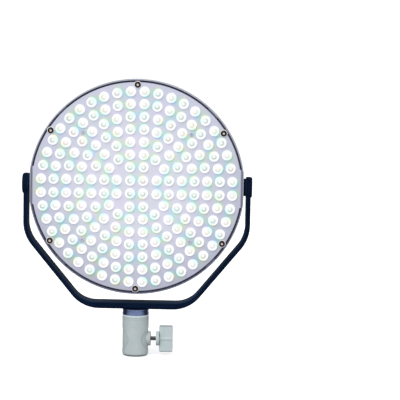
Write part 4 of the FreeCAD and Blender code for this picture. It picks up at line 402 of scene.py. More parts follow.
# Each finish by its slot in the record, and last those of single pieces: its name, two close
# colours, roughness, how metallic it is, then the sizes of its grain, its relief and its mottle in
# millimetres, and more settings. A comment says what each is and what it gives the eye.
FINISH_TABLE = {
    # Matt powder coat: a deep even navy that only catches a little light along its edges.
    "yoke_paint": ("navy_powder_coat", "0f1d34", "0b172b", 0.36, 0.0, 0.9, 0.02, 14.0,
                   {"Specular IOR Level": 0.003}),
    # Anodised turned collar: a broad steel-blue sheen with dark sides.
    "collar_metal": ("blue_anodised_collar", "8ea0cc", "7f91bd", 0.24, 1.0, 0.25, 0.004, 9.0, {}),
    # Glass-filled nylon: pale grey-green, matt, with a fine moulded grain and painted shade in
    # corners.
    "socket_plastic": ("moulded_grey_nylon", "b9c3c4", "afbbbb", 0.46, 0.0, 0.45, 0.012, 16.0,
                       {"crevice": 2.2}),
    # Blackened steel: near black with a hard, slightly uneven shine.
    "black_steel": ("blackened_steel", "2a2422", "1d1a1a", 0.30, 0.8, 0.3, 0.008, 3.0, {}),
    # Zinc-plated steel: bright, with faint cloudy spots.
    "bright_steel": ("zinc_plated_steel", "c9cbd0", "b4b7bd", 0.28, 1.0, 0.4, 0.004, 2.5, {}),
    # Turned brass: warm, with fine turning marks in the gloss.
    "brass": ("turned_brass", "c7a24e", "b08c3e", 0.30, 1.0, 0.3, 0.004, 4.0, {}),
    # Dark nylon friction washer: dull and waxy.
    "washer_nylon": ("dark_nylon_washer", "121c2f", "0e1727", 0.60, 0.0, 0.5, 0.01, 8.0,
                     {"Specular IOR Level": 0.02}),
    # Powder-coated cast aluminium: cool grey with a fine, even texture.
    "housing_paint": ("grey_powder_coat", "8e90a0", "868898", 0.46, 0.0, 0.7, 0.018, 22.0, {}),
    # Silicone seal at the bottom of the groove: slate grey and dull, its dark tone partly painted
    # shade of the groove, so the groove reads as a line.
    "seal_rubber": ("slate_silicone_seal", "4c4e66", "44465c", 0.62, 0.0, 0.5, 0.01, 10.0, {}),
    # White solder mask on an aluminium-backed board: even and slightly glossy.
    "board_white": ("white_solder_mask", "e8eaee", "dfe2e8", 0.35, 0.0, 0.8, 0.004, 12.0, {}),
    # Phosphor over the diodes: a flat warm yellow.
    "led_phosphor": ("yellow_phosphor", "f0dc7a", "e6cf62", 0.50, 0.0, 0.2, 0.004, 2.0, {}),
    # Bare aluminium as rolled: grey with a soft shine.
    "bare_aluminium": ("rolled_aluminium", "c8cacc", "b9bbbe", 0.34, 1.0, 0.35, 0.006, 6.0, {}),
    # Black moulded connector plastic: a plain dark satin.
    "connector_black": ("black_moulded_abs", "1b1c1f", "151619", 0.42, 0.0, 0.4, 0.01, 8.0, {}),
    # Green solder mask: deep green under a thin gloss.
    "board_green": ("green_solder_mask", "1f5a36", "184a2c", 0.30, 0.0, 0.6, 0.006, 7.0, {}),
    # Sintered ferrite cores: dark grey and chalky.
    "choke_core": ("sintered_ferrite", "3a3b3e", "2f3033", 0.60, 0.0, 0.5, 0.02, 5.0, {}),
    # Moulded ABS cover: charcoal with a spark-eroded grain that dulls it.
    "cover_plastic": ("spark_grained_abs", "26282e", "1f2126", 0.50, 0.0, 0.6, 0.03, 18.0, {}),
    # Smoked polycarbonate over the display: dark, flat and glossy.
    "window_glass": ("smoked_window", "0d1013", "07090b", 0.10, 0.0, 3.0, 0.0005, 40.0,
                     {"IOR": 1.58}),
    # Soft-touch rubber on the two dials: black with almost no shine.
    "knob_rubber": ("soft_touch_rubber", "1c1d20", "151619", 0.66, 0.0, 0.35, 0.015, 6.0, {}),
    # Pale moulded keys: light grey satin.
    "button_plastic": ("pale_moulded_keys", "c6c9d0", "bcbfc7", 0.40, 0.0, 0.4, 0.008, 6.0, {}),
    # Moulded nylon rocker: a clear red with a soft gloss.
    "rocker_red": ("red_moulded_nylon", "b3261f", "a01f1a", 0.28, 0.0, 0.5, 0.004, 7.0, {}),
    # Nickel-plated die casting: warm grey metal, a little cloudy.
    "inlet_nickel": ("nickel_plated_casting", "bdbab4", "aaa7a1", 0.30, 1.0, 0.35, 0.008, 4.0, {}),
    # Gold-flashed contacts: small and bright.
    "contact_gold": ("gold_flashed_pins", "d8b25a", "c69f48", 0.24, 1.0, 0.3, 0.002, 2.0, {}),
    # Satin paint on sheet metal: an even lilac grey.
    "face_paint": ("satin_face_paint", "d8d3e6", "d0d6de", 0.42, 0.0, 0.35, 0.006, 15.0, {}),
    # White nylon washers under the black rim screws: a thin pale ring round each head.
    "pale_washer": ("white_nylon_washers", "f2eef2", "e4e0e8", 0.45, 0.0, 0.3, 0.004, 2.0, {}),
    # Painted highlight in the hexagon recess of a rim screw: a warm bright spot that stands for a
    # reflection.
    "worn_steel": ("worn_steel_recess", "efe4dc", "d6cbc4", 0.38, 0.35, 0.3, 0.004, 1.5, {}),
    # Moulded nylon of the wing knob: a touch bluer and paler than the socket, with painted shade in
    # corners.
    "knob_nylon": ("moulded_blue_grey_nylon", "bfcccd", "b7c5c6", 0.46, 0.0, 0.45, 0.012, 12.0,
                   {"crevice": 1.6}),
    # Painted screws in the face: a pale blue-grey spot that hardly stands out, with painted shade in
    # corners.
    "pale_screw": ("painted_screw_heads", "c4c7d6", "babed0", 0.4, 0.0, 0.3, 0.004, 2.0,
                   {"crevice": 0.5}),
    # Oiled steel of the clamp screw: dark flanks and bright crests.
    "oiled_steel": ("oiled_steel_thread", "7c7876", "66625f", 0.16, 1.0, 0.3, 0.002, 3.0, {}),
    # Pad print: thin white ink, a little uneven where it meets the grain below.
    "print_ink": ("white_pad_print", "e4e6e8", "d2d5d8", 0.55, 0.0, 0.3, 0.004, 3.0, {}),
    # Lit liquid crystal behind the smoked window: an even pale cyan with a faint dot pattern.
    "display_glow": ("lit_display", "9fe8f2", "86d8e6", 0.4, 0.0, 0.3, 0.001, 2.0,
                     {"Emission Strength": 0.8}),
    # Seamless paper under the light: plain white, lit from within so that it stays white.
    "floor_paper": ("white_paper_floor", "fafafa", "f6f6f7", 0.9, 0.0, 16.0, 0.0, 60.0,
                    {"Specular IOR Level": 0.0, "Emission Color": (1, 1, 1, 1),
                     "Emission Strength": 0.32}),
}
GROOVE_SHADE_SLATE = FINISH_TABLE["seal_rubber"][1]

FINISHES = {}


def mix_finishes():
    """Makes every finish once, and builds on those that have more to them."""
    for slot, (*plain, extra) in FINISH_TABLE.items():
        FINISHES[slot] = surface(*plain, **extra)
    FINISHES["lens_glow"] = lens_glow()
    paint_face_light_and_shade(FINISHES["face_paint"])
    paint_inner_face_light(FINISHES["yoke_paint"])
    shade_lip_and_lugs(FINISHES["housing_paint"])
    paint_socket_light_and_shade(FINISHES["socket_plastic"])
    shade_wing_ends(FINISHES["knob_nylon"])
    display = FINISHES["display_glow"]
    tone, shader = part_of(display, RAMP), part_of(display, SHADER)
    display.node_tree.links.new(tone.outputs["Color"], shader.inputs["Emission Color"])


def paint_inner_face_light(material):
    """Paints the yoke's coat slate blue on its inner faces and rounded edges, as painted light."""
    tree, place = material.node_tree, part_of(material, PLACE)
    way = add(tree, VECTOR, {"operation": "NORMALIZE"}, {0: (from_middle(tree, place, -1.0), 0)})
    edge = add(tree, "ShaderNodeBevel", {"samples": 8, "Radius": 2.6 * MM})
    facing = add(tree, VECTOR, DOT, {0: (edge, "Normal"), 1: (way, 0)})
    span = {**SMOOTH, "From Min": 0.1, "From Max": 0.75}
    amount = add(tree, RANGE, span, {"Value": (facing, "Value")})
    # Painted light: a lighter slate blue where the coat faces the panel.
    lay_over(material, (amount, 0), "2a3749")


def shade_wing_ends(material):
    """Paints shade on the knob along the two ends of its wing."""
    tree = material.node_tree
    low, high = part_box("clamp_knob")
    middle, half = (low.z + high.z) / 2, (high.z - low.z) / 2
    parts = add(tree, SPLIT, links={"Vector": (part_of(material, PLACE), "Object")})
    height = add(tree, MATH, {**LESS, 1: middle}, {0: (parts, "Z")})
    ends = add(tree, MATH, {"operation": "ABSOLUTE"}, {0: (height, 0)})
    span = {"From Min": half - 1.6 * MM, "From Max": half - 0.7 * MM, "To Max": 0.7}
    amount = add(tree, RANGE, span, {"Value": (ends, 0)})
    # Painted shade along the wing's two ends.
    lay_over(material, (amount, 0), "7f8b8e")


# The housing's rim, in millimetres: the radius of the lip's inner wall and half the width of the
# band on it, the radius that the lugs stay within, and the depths of the lip and of the groove.
LIP_INNER, LIP_BAND_HALF = 139.1, 0.4
LUG_OUTER = 138.6
LIP_FRONT = -19.9
GROOVE_FLOOR = -14.9


def shade_lip_and_lugs(material):
    """Paints the housing's lip pale, darker below as painted shade, and its lugs in the groove slate
    as painted shade.
    """
    tree, place = material.node_tree, part_of(material, PLACE)
    far = add(tree, VECTOR, LENGTH, {0: (from_middle(tree, place), 0)})
    parts = add(tree, SPLIT, links={"Vector": (place, "Object")})
    ahead = add(tree, MATH, {"operation": "LESS_THAN", 1: LIP_FRONT * MM}, {0: (parts, "Y")})
    front = add(tree, MATH, {"operation": "LESS_THAN", 1: GROOVE_FLOOR * MM}, {0: (parts, "Y")})
    band = {"operation": "COMPARE", 1: LIP_INNER * MM, 2: LIP_BAND_HALF * MM}
    wall = add(tree, MATH, band, {0: (far, "Value")})
    inner = add(tree, MATH, TIMES, {0: (wall, 0), 1: (front, 0)})
    pale = add(tree, MATH, {"operation": "MAXIMUM"}, {0: (ahead, 0), 1: (inner, 0)})
    # Painted shade: the lip is darker towards the bottom.
    span = {"From Min": PIVOT_HEIGHT - 90 * MM, "From Max": PIVOT_HEIGHT + 60 * MM}
    upwards = add(tree, RANGE, span, {"Value": (parts, "Z")})
    ends = {FIRST: rgb("7a7e94"), SECOND: rgb("a8acba")}
    lip_tone_and_shade = add(tree, MIX, {**COLOURS, **ends}, {0: (upwards, 0)})
    lay_over(material, (pale, 0), (lip_tone_and_shade, MIXED))
    # Painted shade: the lugs in the groove take the groove's slate, so the groove reads dark.
    inside = add(tree, MATH, {"operation": "LESS_THAN", 1: LUG_OUTER * MM}, {0: (far, "Value")})
    behind = add(tree, MATH, LESS, {0: (front, 0), 1: (ahead, 0)})
    lugs = add(tree, MATH, TIMES, {0: (inside, 0), 1: (behind, 0)})
    lay_over(material, (lugs, 0), GROOVE_SHADE_SLATE)


# The socket's painted light and shade, in millimetres: the heights between which its shaded rings
# and its lip's painted highlight lie, the middle, radius and half width of the painted shade line
# round a recess, and the span of the painted shade on the foot's edge.
COLLAR_SPAN = (45.0, 55.0)
RECESS_HEIGHT, RECESS_LINE, RECESS_LINE_HALF = 22.6, 14.6, 0.55
FOOT_SHADE_SPAN = (0.8, 3.2)


def paint_socket_light_and_shade(material):
    """Paints a pale bluish highlight on the socket's lip, and shade in two thin rings, round its
    recesses and on its foot.
    """
    tree, place = material.node_tree, part_of(material, PLACE)
    parts = add(tree, SPLIT, links={"Vector": (place, "Object")})
    foot, top = (height * MM for height in COLLAR_SPAN)
    level = add(tree, RANGE, {"From Min": foot, "From Max": top}, {"Value": (parts, "Z")})
    plain, faint, clear, full = ((strength,) * 4 for strength in (0.0, 0.35, 0.5, 1.0))
    ring_shade = [(0.30, plain), (0.38, faint), (0.46, plain), (0.52, plain), (0.60, clear), (0.68, plain)]
    lip_highlight = [(0.76, plain), (0.82, full)]
    # Painted shade in the two thin rings, and a painted highlight on the lip.
    for stops, colour in ((ring_shade, "83969a"), (lip_highlight, "cddbe2")):
        shown = add(tree, RAMP, {"stops": stops}, {"Fac": (level, 0)})
        lay_over(material, (shown, "Color"), colour)
    # Painted shade along the line round each recess.
    middle = {"operation": "MULTIPLY_ADD", 1: (0, 1, 1), 2: (0, 0, -RECESS_HEIGHT * MM)}
    about = add(tree, VECTOR, middle, {0: (place, "Object")})
    around = add(tree, VECTOR, LENGTH, {0: (about, "Vector")})
    band = {"operation": "COMPARE", 1: RECESS_LINE * MM, 2: RECESS_LINE_HALF * MM}
    near = add(tree, MATH, band, {0: (around, "Value")})
    line = add(tree, MATH, {**TIMES, 1: 0.5}, {0: (near, 0)})
    lay_over(material, (line, 0), "7f9093")
    # Painted shade on the foot, darkest at the bottom.
    low, high = (height * MM for height in FOOT_SHADE_SPAN)
    span = {"From Min": low, "From Max": high, "To Min": 0.85, "To Max": 0.0}
    shaded = add(tree, RANGE, span, {"Value": (parts, "Z")})
    lay_over(material, (shaded, 0), "5c6667")


def wear(piece, *names):
    """Gives a piece its finishes, the first one all over unless its faces name another."""
    piece.data.materials.clear()
    for name in names:
        piece.data.materials.append(FINISHES[name])


def put_down():
    """Leaves edit mode and deselects everything."""
    if bpy.context.object and bpy.context.object.mode != "OBJECT":
        bpy.ops.object.mode_set(mode="OBJECT")
    bpy.ops.object.select_all(action="DESELECT")


def pick(piece, *others):
    """Selects only these pieces, the first as the active one."""
    put_down()
    for one in (piece, *others):
        one.select_set(True)
    bpy.context.view_layer.objects.active = piece


def select_faces(piece, wanted):
    """Goes into edit mode with the faces selected whose middle and normal the test takes."""
    pick(piece)
    bpy.ops.object.mode_set(mode="EDIT")
    bpy.ops.mesh.select_mode(type="FACE")
    bpy.ops.mesh.select_all(action="DESELECT")
    bpy.ops.object.mode_set(mode="OBJECT")
    for face in piece.data.polygons:
        face.select = wanted(face.center / MM, face.normal)
    bpy.ops.object.mode_set(mode="EDIT")


def turned(name, profile, sides=32):
    """Turns a closed solid about the Z axis: a disc that is extruded and scaled ring by ring.

    The profile is a list of radius and height in millimetres. A last radius of 0 closes in a point.
    """
    put_down()
    radius, height = profile[0]
    bpy.ops.mesh.primitive_circle_add(
        vertices=sides, radius=radius * MM, fill_type="NGON", location=(0, 0, height * MM)
    )
    piece = bpy.context.object
    piece.name = name
    bpy.ops.object.mode_set(mode="EDIT")
    for next_radius, next_height in profile[1:]:
        rise = (next_height - height) * MM
        bpy.ops.mesh.extrude_region_move(TRANSFORM_OT_translate={"value": (0, 0, rise)})
        if next_radius == 0:
            bpy.ops.mesh.merge(type="CENTER")
            break
        share = next_radius / radius
        bpy.ops.transform.resize(value=(share, share, 1), center_override=(0, 0, 0))
        radius, height = next_radius, next_height
    bpy.ops.mesh.select_all(action="SELECT")
    bpy.ops.mesh.normals_make_consistent(inside=False)
    bpy.ops.object.mode_set(mode="OBJECT")
    return seat(piece)


def slab(name, size, middle):
    """A plain bar, from its size and its middle in millimetres."""
    put_down()
    bpy.ops.mesh.primitive_cube_add(size=MM, location=[c * MM for c in middle])
    piece = bpy.context.object
    piece.name = name
    piece.scale = size
    bpy.ops.object.transform_apply()
    return piece


def seat(piece, turn=(0, 0, 0), spot=None):
    """Turns a piece about the three axes, in degrees, moves it and bakes both into its mesh."""
    pick(piece)
    piece.rotation_euler = [math.radians(a) for a in turn]
    if spot is not None:
        piece.location = spot
    bpy.ops.object.transform_apply()
    return piece


def modify(piece, kind, **settings):
    """Adds a modifier with its settings and applies it."""
    pick(piece)
    made = piece.modifiers.new(kind.title(), kind)
    for key, value in settings.items():
        setattr(made, key, value)
    bpy.ops.object.modifier_apply(modifier=made.name)
    return piece


def cut(piece, cutter):
    """Cuts the cutter out of the piece and removes the cutter."""
    modify(piece, "BOOLEAN", operation="DIFFERENCE", object=cutter, solver="EXACT")
    bpy.data.objects.remove(cutter)
    return piece


def smooth(piece, angle=35.0):
    """Shades a piece smooth, and leaves the edges that are sharper than the angle crisp."""
    pick(piece)
    bpy.ops.object.shade_smooth_by_angle(angle=math.radians(angle))
    return piece


def copy_to(piece, turn, spot):
    """A copy with its own mesh, at another place."""
    twin = piece.copy()
    twin.data = piece.data.copy()
    bpy.context.collection.objects.link(twin)
    return seat(twin, turn, spot)


def joined(name, pieces):
    """Joins like pieces into one."""
    pick(*pieces)
    bpy.ops.object.join()
    whole = bpy.context.object
    whole.name = name
    return whole


def fit_out(piece, body, slot, *nodes):
    """Gives a piece its body, hides the nodes it stands for, and gives it its slot's finish if it has
    none.
    """
    if not piece.data.materials:
        wear(piece, slot)
    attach(piece, body)
    if nodes:
        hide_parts(*nodes)
    return piece


class LensSizes(bpy.types.PropertyGroup):
    """Sizes of the lens domes."""

    radius: bpy.props.FloatProperty(
        name="Lens radius",
        description="Radius of a lens where it meets the face",
        default=LENS_RADIUS * MM,
        unit="LENGTH",
    )
    crown: bpy.props.FloatProperty(
        name="Crown height",
        description="Height of a dome above the face",
        default=LENS_CROWN * MM,
        unit="LENGTH",
    )
    sides: bpy.props.IntProperty(
        name="Sides", description="Number of sides of a dome", default=16, min=8, max=32
    )


class ScrewSizes(bpy.types.PropertyGroup):
    """Sizes of the screws that show."""

    rim_head: bpy.props.FloatProperty(
        name="Rim screw head", description="Radius of a rim screw's head", default=0.004, unit="LENGTH"
    )
    pitch: bpy.props.FloatProperty(
        name="Thread pitch",
        description="Advance of the clamp screw's thread in one turn",
        default=0.001,
        unit="LENGTH",
    )
    slot: bpy.props.FloatProperty(
        name="Slot width",
        description="Width of the cross in a small screw's head",
        default=0.0008,
        unit="LENGTH",
    )


class ControlSizes(bpy.types.PropertyGroup):
    """Sizes of the dials and of the marks round the controls."""

    ridges: bpy.props.IntProperty(
        name="Ridges", description="Grip ridges round a dial", default=30, min=8, max=60
    )
    ticks: bpy.props.IntProperty(
        name="Ticks", description="Marks of a dial's scale", default=11, min=3, max=31
    )
    sweep: bpy.props.FloatProperty(
        name="Sweep",
        description="Angle that a dial's scale covers",
        default=math.radians(270),
        unit="ROTATION",
    )


class StudioSizes(bpy.types.PropertyGroup):
    """The floor and the lights round the object."""

    floor: bpy.props.FloatProperty(
        name="Floor size", description="Length of a side of the floor", default=60.0, unit="LENGTH"
    )
    key: bpy.props.FloatProperty(
        name="Key light",
        description="Power of the large light above the front",
        default=14.0,
        unit="POWER",
    )
    back: bpy.props.FloatProperty(
        name="Back light", description="Power of the light above the back", default=14.0, unit="POWER"
    )


def ring_places(number, radius):
    """The places of one ring's lenses in millimetres across and up from the middle of the face."""
    steps, first = ring_start(number, radius)
    places = []
    for index in range(steps + 1):
        angle = RIGHT_ANGLE * (first + (index / steps * (1 - 2 * first) if steps else 0))
        across, up = radius * math.cos(angle), radius * math.sin(angle)
        places += [(across, up), (-across, up), (-across, -up), (across, -up)]
    return places


def scaled(shares, radius, height):
    """A profile from the shares of a radius and a height."""
    return [(radius * across, height * up) for across, up in shares]


# A lens: a short barrel in the face, a dome over it and a dimple in the middle. It has few faces,
# because it comes 192 times. The profile is in shares of its radius and of its crown's height.
LENS_PROFILE = ((1.0, 0.14), (0.83, 0.68), (0.46, 1.0), (0.0, 0.80))
LENS_FOOT = -4.4


class PANEL_OT_lens_domes(bpy.types.Operator):
    """Model the lens domes, ring by ring"""

    bl_idname = "panel_light.lens_domes"
    bl_label = "Lens domes"

    def execute(self, context):
        sizes = context.scene.lens_sizes
        radius, crown = sizes.radius / MM, sizes.crown / MM
        profile = [(radius, LENS_FOOT), *scaled(LENS_PROFILE, radius, crown)]
        model = smooth(turned("lens", profile, sizes.sides), 50)
        for number, ring_radius in enumerate(RING_RADII):
            ring = []
            for across, up in ring_places(number, ring_radius):
                spot = (across * MM, PLATE_FRONT, PIVOT_HEIGHT + up * MM)
                ring.append(copy_to(model, (90, 0, 0), spot))
            fit_out(joined(f"lens_ring_{number + 1}", ring), "lamp", "lens_glow", "led_lenses")
        bpy.data.objects.remove(model)
        return {"FINISHED"}


# The rim screws, in millimetres and degrees: where they stand, half the width and the depth of
# their hexagon, the radius of the shank, and the head's profile in shares of radius and height.
RIM_SCREW_CIRCLE = 133.4
RIM_SCREW_ANGLES = (90.0, 32.7, 147.3, 212.7, 270.0, 327.3)
RIM_HEXAGON = 1.7
RIM_HEXAGON_DEPTH = 0.9
RIM_SHANK = 2.0
RIM_HEAD = ((0.96, 0.0), (1.0, 0.12), (1.0, 0.30), (0.93, 0.58), (0.78, 0.82), (0.58, 0.95))
# How far the hexagon's lip is wider than the hexagon, and how much one screw is turned on the next.
HEXAGON_LIP, RIM_TWIST = 1.12, 17.0


class PANEL_OT_rim_screws(bpy.types.Operator):
    """Model the six button-head screws in the rim"""

    bl_idname = "panel_light.rim_screws"
    bl_label = "Rim screws"

    def execute(self, context):
        radius = context.scene.screw_sizes.rim_head / MM
        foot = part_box("rim_washers")[0].y
        low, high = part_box("rim_screws")
        height = (foot - low.y) / MM
        profile = [*scaled(RIM_HEAD, radius, height), (RIM_HEXAGON * HEXAGON_LIP, height)]
        model = turned("rim_screw", profile, 36)
        sunk = height - RIM_HEXAGON_DEPTH
        cut(model, turned("hexagon", [(RIM_HEXAGON, sunk), (RIM_HEXAGON, height + 1.0)], 6))
        wear(model, "black_steel", "worn_steel")
        # The faces of the hexagon's recess take the painted highlight.
        for face in model.data.polygons:
            spot = face.center / MM
            glinting = math.hypot(spot.x, spot.y) < RIM_HEXAGON and spot.z < height - 0.05
            face.material_index = int(glinting and spot.z > sunk / 2)
        smooth(model, 28)
        shank = turned("shank", [(RIM_SHANK, (foot - high.y) / MM), (RIM_SHANK, 0.2)], 24)
        wear(shank, "black_steel")
        model = joined("rim_screw", [model, shank])
        screws = []
        for index, angle in enumerate(RIM_SCREW_ANGLES):
            across = RIM_SCREW_CIRCLE * math.cos(math.radians(angle))
            up = RIM_SCREW_CIRCLE * math.sin(math.radians(angle))
            twisted = copy_to(model, (0, 0, RIM_TWIST * index), (0, 0, 0))
            screws.append(seat(twisted, (90, 0, 0), (across * MM, foot, PIVOT_HEIGHT + up * MM)))
        bpy.data.objects.remove(model)
        fit_out(joined("rim_button_screws", screws), "lamp", "black_steel", "rim_screws")
        return {"FINISHED"}


# The small screws by their node: the name of the piece, its slot in the record and its finish, then
# the radius and the height of a head and the radius of a shank in millimetres, where a head sits,
# the turn that makes it face the front or the back, and the places across and up from the pivots.
SMALL_SCREWS = {
    "inner_screws": (
        "face_screws", "bright_steel", "pale_screw", 2.8, 1.15, 1.5, PLATE_FRONT, 90,
        [(70.23, 70.23), (70.23, -70.23), (-70.23, 70.23), (-70.23, -70.23)],
    ),
    "cover_screws": (
        "back_cover_screws", "black_steel", "black_steel", 2.75, 1.5, 1.5, COVER_BACK - 1.6 * MM, -90,
        [(63.0, -38.0), (63.0, 38.0), (-63.0, -38.0), (-63.0, 38.0)],
    ),
    "inlet_screws": (
        "inlet_fixing_screws", "bright_steel", "bright_steel", 2.4, 1.2, 1.4,
        INLET_BACK - 1.2 * MM, -90,
        [(36.4, -9.0), (55.6, -33.0)],
    ),
}
# Their head's profile in shares of radius and height, and the cross in it: the length of a blade
# and the height of its middle in the same shares. Each screw is turned a little on the last one.
SMALL_HEAD = ((0.97, 0.0), (1.0, 0.1), (1.0, 0.45), (0.90, 0.80), (0.70, 0.95), (0.45, 1.0))
BLADE_LENGTH, BLADE_HEIGHT = 1.15, 0.95
SMALL_TWIST = 23.0


class PANEL_OT_small_screws(bpy.types.Operator):
    """Model the small screws of the face, the control cover and the inlet"""

    bl_idname = "panel_light.small_screws"
    bl_label = "Small screws"

    def execute(self, context):
        width = context.scene.screw_sizes.slot / MM
        for node, row in SMALL_SCREWS.items():
            name, slot, finish, radius, height, shank, seat_y, lean, places = row
            low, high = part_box(node)
            length = (high.y - seat_y if lean > 0 else seat_y - low.y) / MM
            model = turned("cross_screw", scaled(SMALL_HEAD, radius, height), 28)
            for turn in (0, 90):
                size = (radius * BLADE_LENGTH, width, height)
                blade = slab("blade", size, (0, 0, height * BLADE_HEIGHT))
                cut(model, seat(blade, (0, 0, turn)))
            smooth(model, 28)
            shank = turned("shank", [(shank, -length), (shank, 0.15)], 16)
            model = joined("cross_screw", [model, shank])
            screws = []
            for index, (across, up) in enumerate(places):
                spot = (across * MM, seat_y, PIVOT_HEIGHT + up * MM)
                twisted = copy_to(model, (0, 0, SMALL_TWIST * index), (0, 0, 0))
                screws.append(seat(twisted, (lean, 0, 0), spot))
            bpy.data.objects.remove(model)
            whole = joined(name, screws)
            wear(whole, finish)
            fit_out(whole, "lamp", slot, node)
        return {"FINISHED"}


# The clamp screw's thread: its depth in pitches, and where in one pitch its flanks begin and end.
THREAD_DEPTH = 0.6
THREAD_FLANKS = (0.0, 0.16, 0.36, 0.66, 0.86, 1.0)


class PANEL_OT_clamp_screw(bpy.types.Operator):
    """Model the clamp screw with its thread"""

    bl_idname = "panel_light.clamp_screw"
    bl_label = "Clamp screw"

    def execute(self, context):
        pitch = context.scene.screw_sizes.pitch / MM
        low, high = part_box("clamp_screw")
        height = (low.z + high.z) / 2
        radius = (high.z - low.z) / 2 / MM
        length = (high.x - low.x) / MM
        root = radius - THREAD_DEPTH * pitch
        tooth = list(zip((root, root, radius, radius, root, root), THREAD_FLANKS))
        put_down()
        bpy.ops.mesh.primitive_plane_add(size=MM)
        screw = bpy.context.object
        screw.name = "clamp_thread"
        bpy.ops.object.mode_set(mode="EDIT")
        bpy.ops.mesh.merge(type="CENTER")
        bpy.ops.transform.translate(value=(root * MM, 0, 0))
        for (here, foot), (there, head) in zip(tooth, tooth[1:]):
            step = ((there - here) * MM, 0, (head - foot) * pitch * MM)
            bpy.ops.mesh.extrude_vertices_move(TRANSFORM_OT_translate={"value": step})
        modify(
            screw, "SCREW", screw_offset=pitch * MM, iterations=int(length / pitch) + 2, steps=28,
            render_steps=28, use_merge_vertices=True, merge_threshold=0.01 * MM,
        )
        bpy.ops.object.mode_set(mode="EDIT")
        for level, side in ((pitch, "clear_inner"), (pitch + length, "clear_outer")):
            bpy.ops.mesh.select_all(action="SELECT")
            bpy.ops.mesh.bisect(
                plane_co=(0, 0, level * MM), plane_no=(0, 0, 1), use_fill=True, **{side: True}
            )
        bpy.ops.mesh.select_all(action="SELECT")
        bpy.ops.mesh.normals_make_consistent(inside=False)
        seat(screw, (0, 90, 0), (low.x - pitch * MM, 0, height))
        wear(smooth(screw, 30), "oiled_steel")
        fit_out(screw, "clamp_grip", "black_steel", "clamp_screw")
        return {"FINISHED"}


# A dial, in millimetres: the radius of its barrel, how far a ridge stands out and how far it is
# drawn in at its edges, how far in its pointer's groove begins, how deep its top dips, and the
# width, length and depth of the groove.
DIAL_BARREL = 10.0
DIAL_RIDGE, RIDGE_INSET = 0.45, 0.18
GROOVE_EDGE, DIAL_DIP = 3.2, 0.35
DIAL_POINTER = (1.2, 5.5, 0.6)


class PANEL_OT_dials(bpy.types.Operator):
    """Model the two ridged dials with their pointers"""

    bl_idname = "panel_light.dials"
    bl_label = "Dials"

    def execute(self, context):
        ridges = context.scene.control_sizes.ridges
        low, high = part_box("dimmer_knob")
        height = (high.y - low.y) / MM
        top = ((0.0, 2.4), (0.25, 1.2), (0.9, DIAL_DIP), (1.9, 0.0), (3.0, DIAL_DIP))
        profile = [(DIAL_BARREL - 0.4, 0.0), (DIAL_BARREL, 0.5)]
        profile += [(DIAL_BARREL - inwards, height - down) for inwards, down in top]
        model = turned("dial", profile, 2 * ridges)
        part = math.pi / ridges

        def on_ridge(middle, normal):
            if abs(normal.z) > 0.3 or not 0.5 < middle.z < height - 2.0:
                return False
            return int((math.atan2(middle.y, middle.x) + math.tau) / part) % 2 == 0

        select_faces(model, on_ridge)
        bpy.ops.mesh.inset(thickness=RIDGE_INSET * MM, use_individual=True)
        share = 1 + DIAL_RIDGE / DIAL_BARREL
        bpy.ops.transform.resize(value=(share, share, 1), center_override=(0, 0, 0))
        bpy.ops.object.mode_set(mode="OBJECT")
        width, length, depth = DIAL_POINTER
        middle = (0, DIAL_BARREL - GROOVE_EDGE - length / 2, height - DIAL_DIP)
        cut(model, slab("groove", (width, length, 2 * depth), middle))
        wear(model, "knob_rubber", "print_ink")
        for face in model.data.polygons:
            spot = face.center / MM
            on_floor = abs(spot.z - (height - DIAL_DIP - depth)) < 0.05
            sunk = on_floor and abs(spot.x) <= width / 2 and spot.y > 0
            face.material_index = int(sunk and face.normal.z > 0.9)
        smooth(model, 30)
        for name, node, body in (
            ("dimmer_dial", "dimmer_knob", "dimmer"), ("tint_dial", "colour_knob", "colour_dial")
        ):
            low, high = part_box(node)
            spot = ((low.x + high.x) / 2, low.y, (low.z + high.z) / 2)
            dial = copy_to(model, (0, 0, 180), (0, 0, 0))
            dial.name = name
            seat(dial, (-90, 0, 0), spot)
            fit_out(dial, body, "knob_rubber", node)
        bpy.data.objects.remove(model)
        return {"FINISHED"}


# The print, in millimetres: its thickness, the radius at which a scale begins, and the width and
# length of a tick, plain or at the ends and the middle of a scale.
INK_DEPTH = 0.06
SCALE_RADIUS = 11.9
PLAIN_TICK, LONG_TICK = (0.4, 1.5), (0.6, 2.4)
# The display's two rows of bars, in millimetres: the height of a row's middle and how many bars are
# lit, then the number of bars in a row, the first one's place, their spacing and width, and the
# height of a lit and of an unlit one.
BAR_ROWS = ((5.0, 9), (-5.0, 6))
BARS, FIRST_BAR, BAR_SPACING, BAR_WIDTH = 12, 20.9, 3.8, 2.4
LIT_BAR, DARK_BAR = 5.2, 1.0


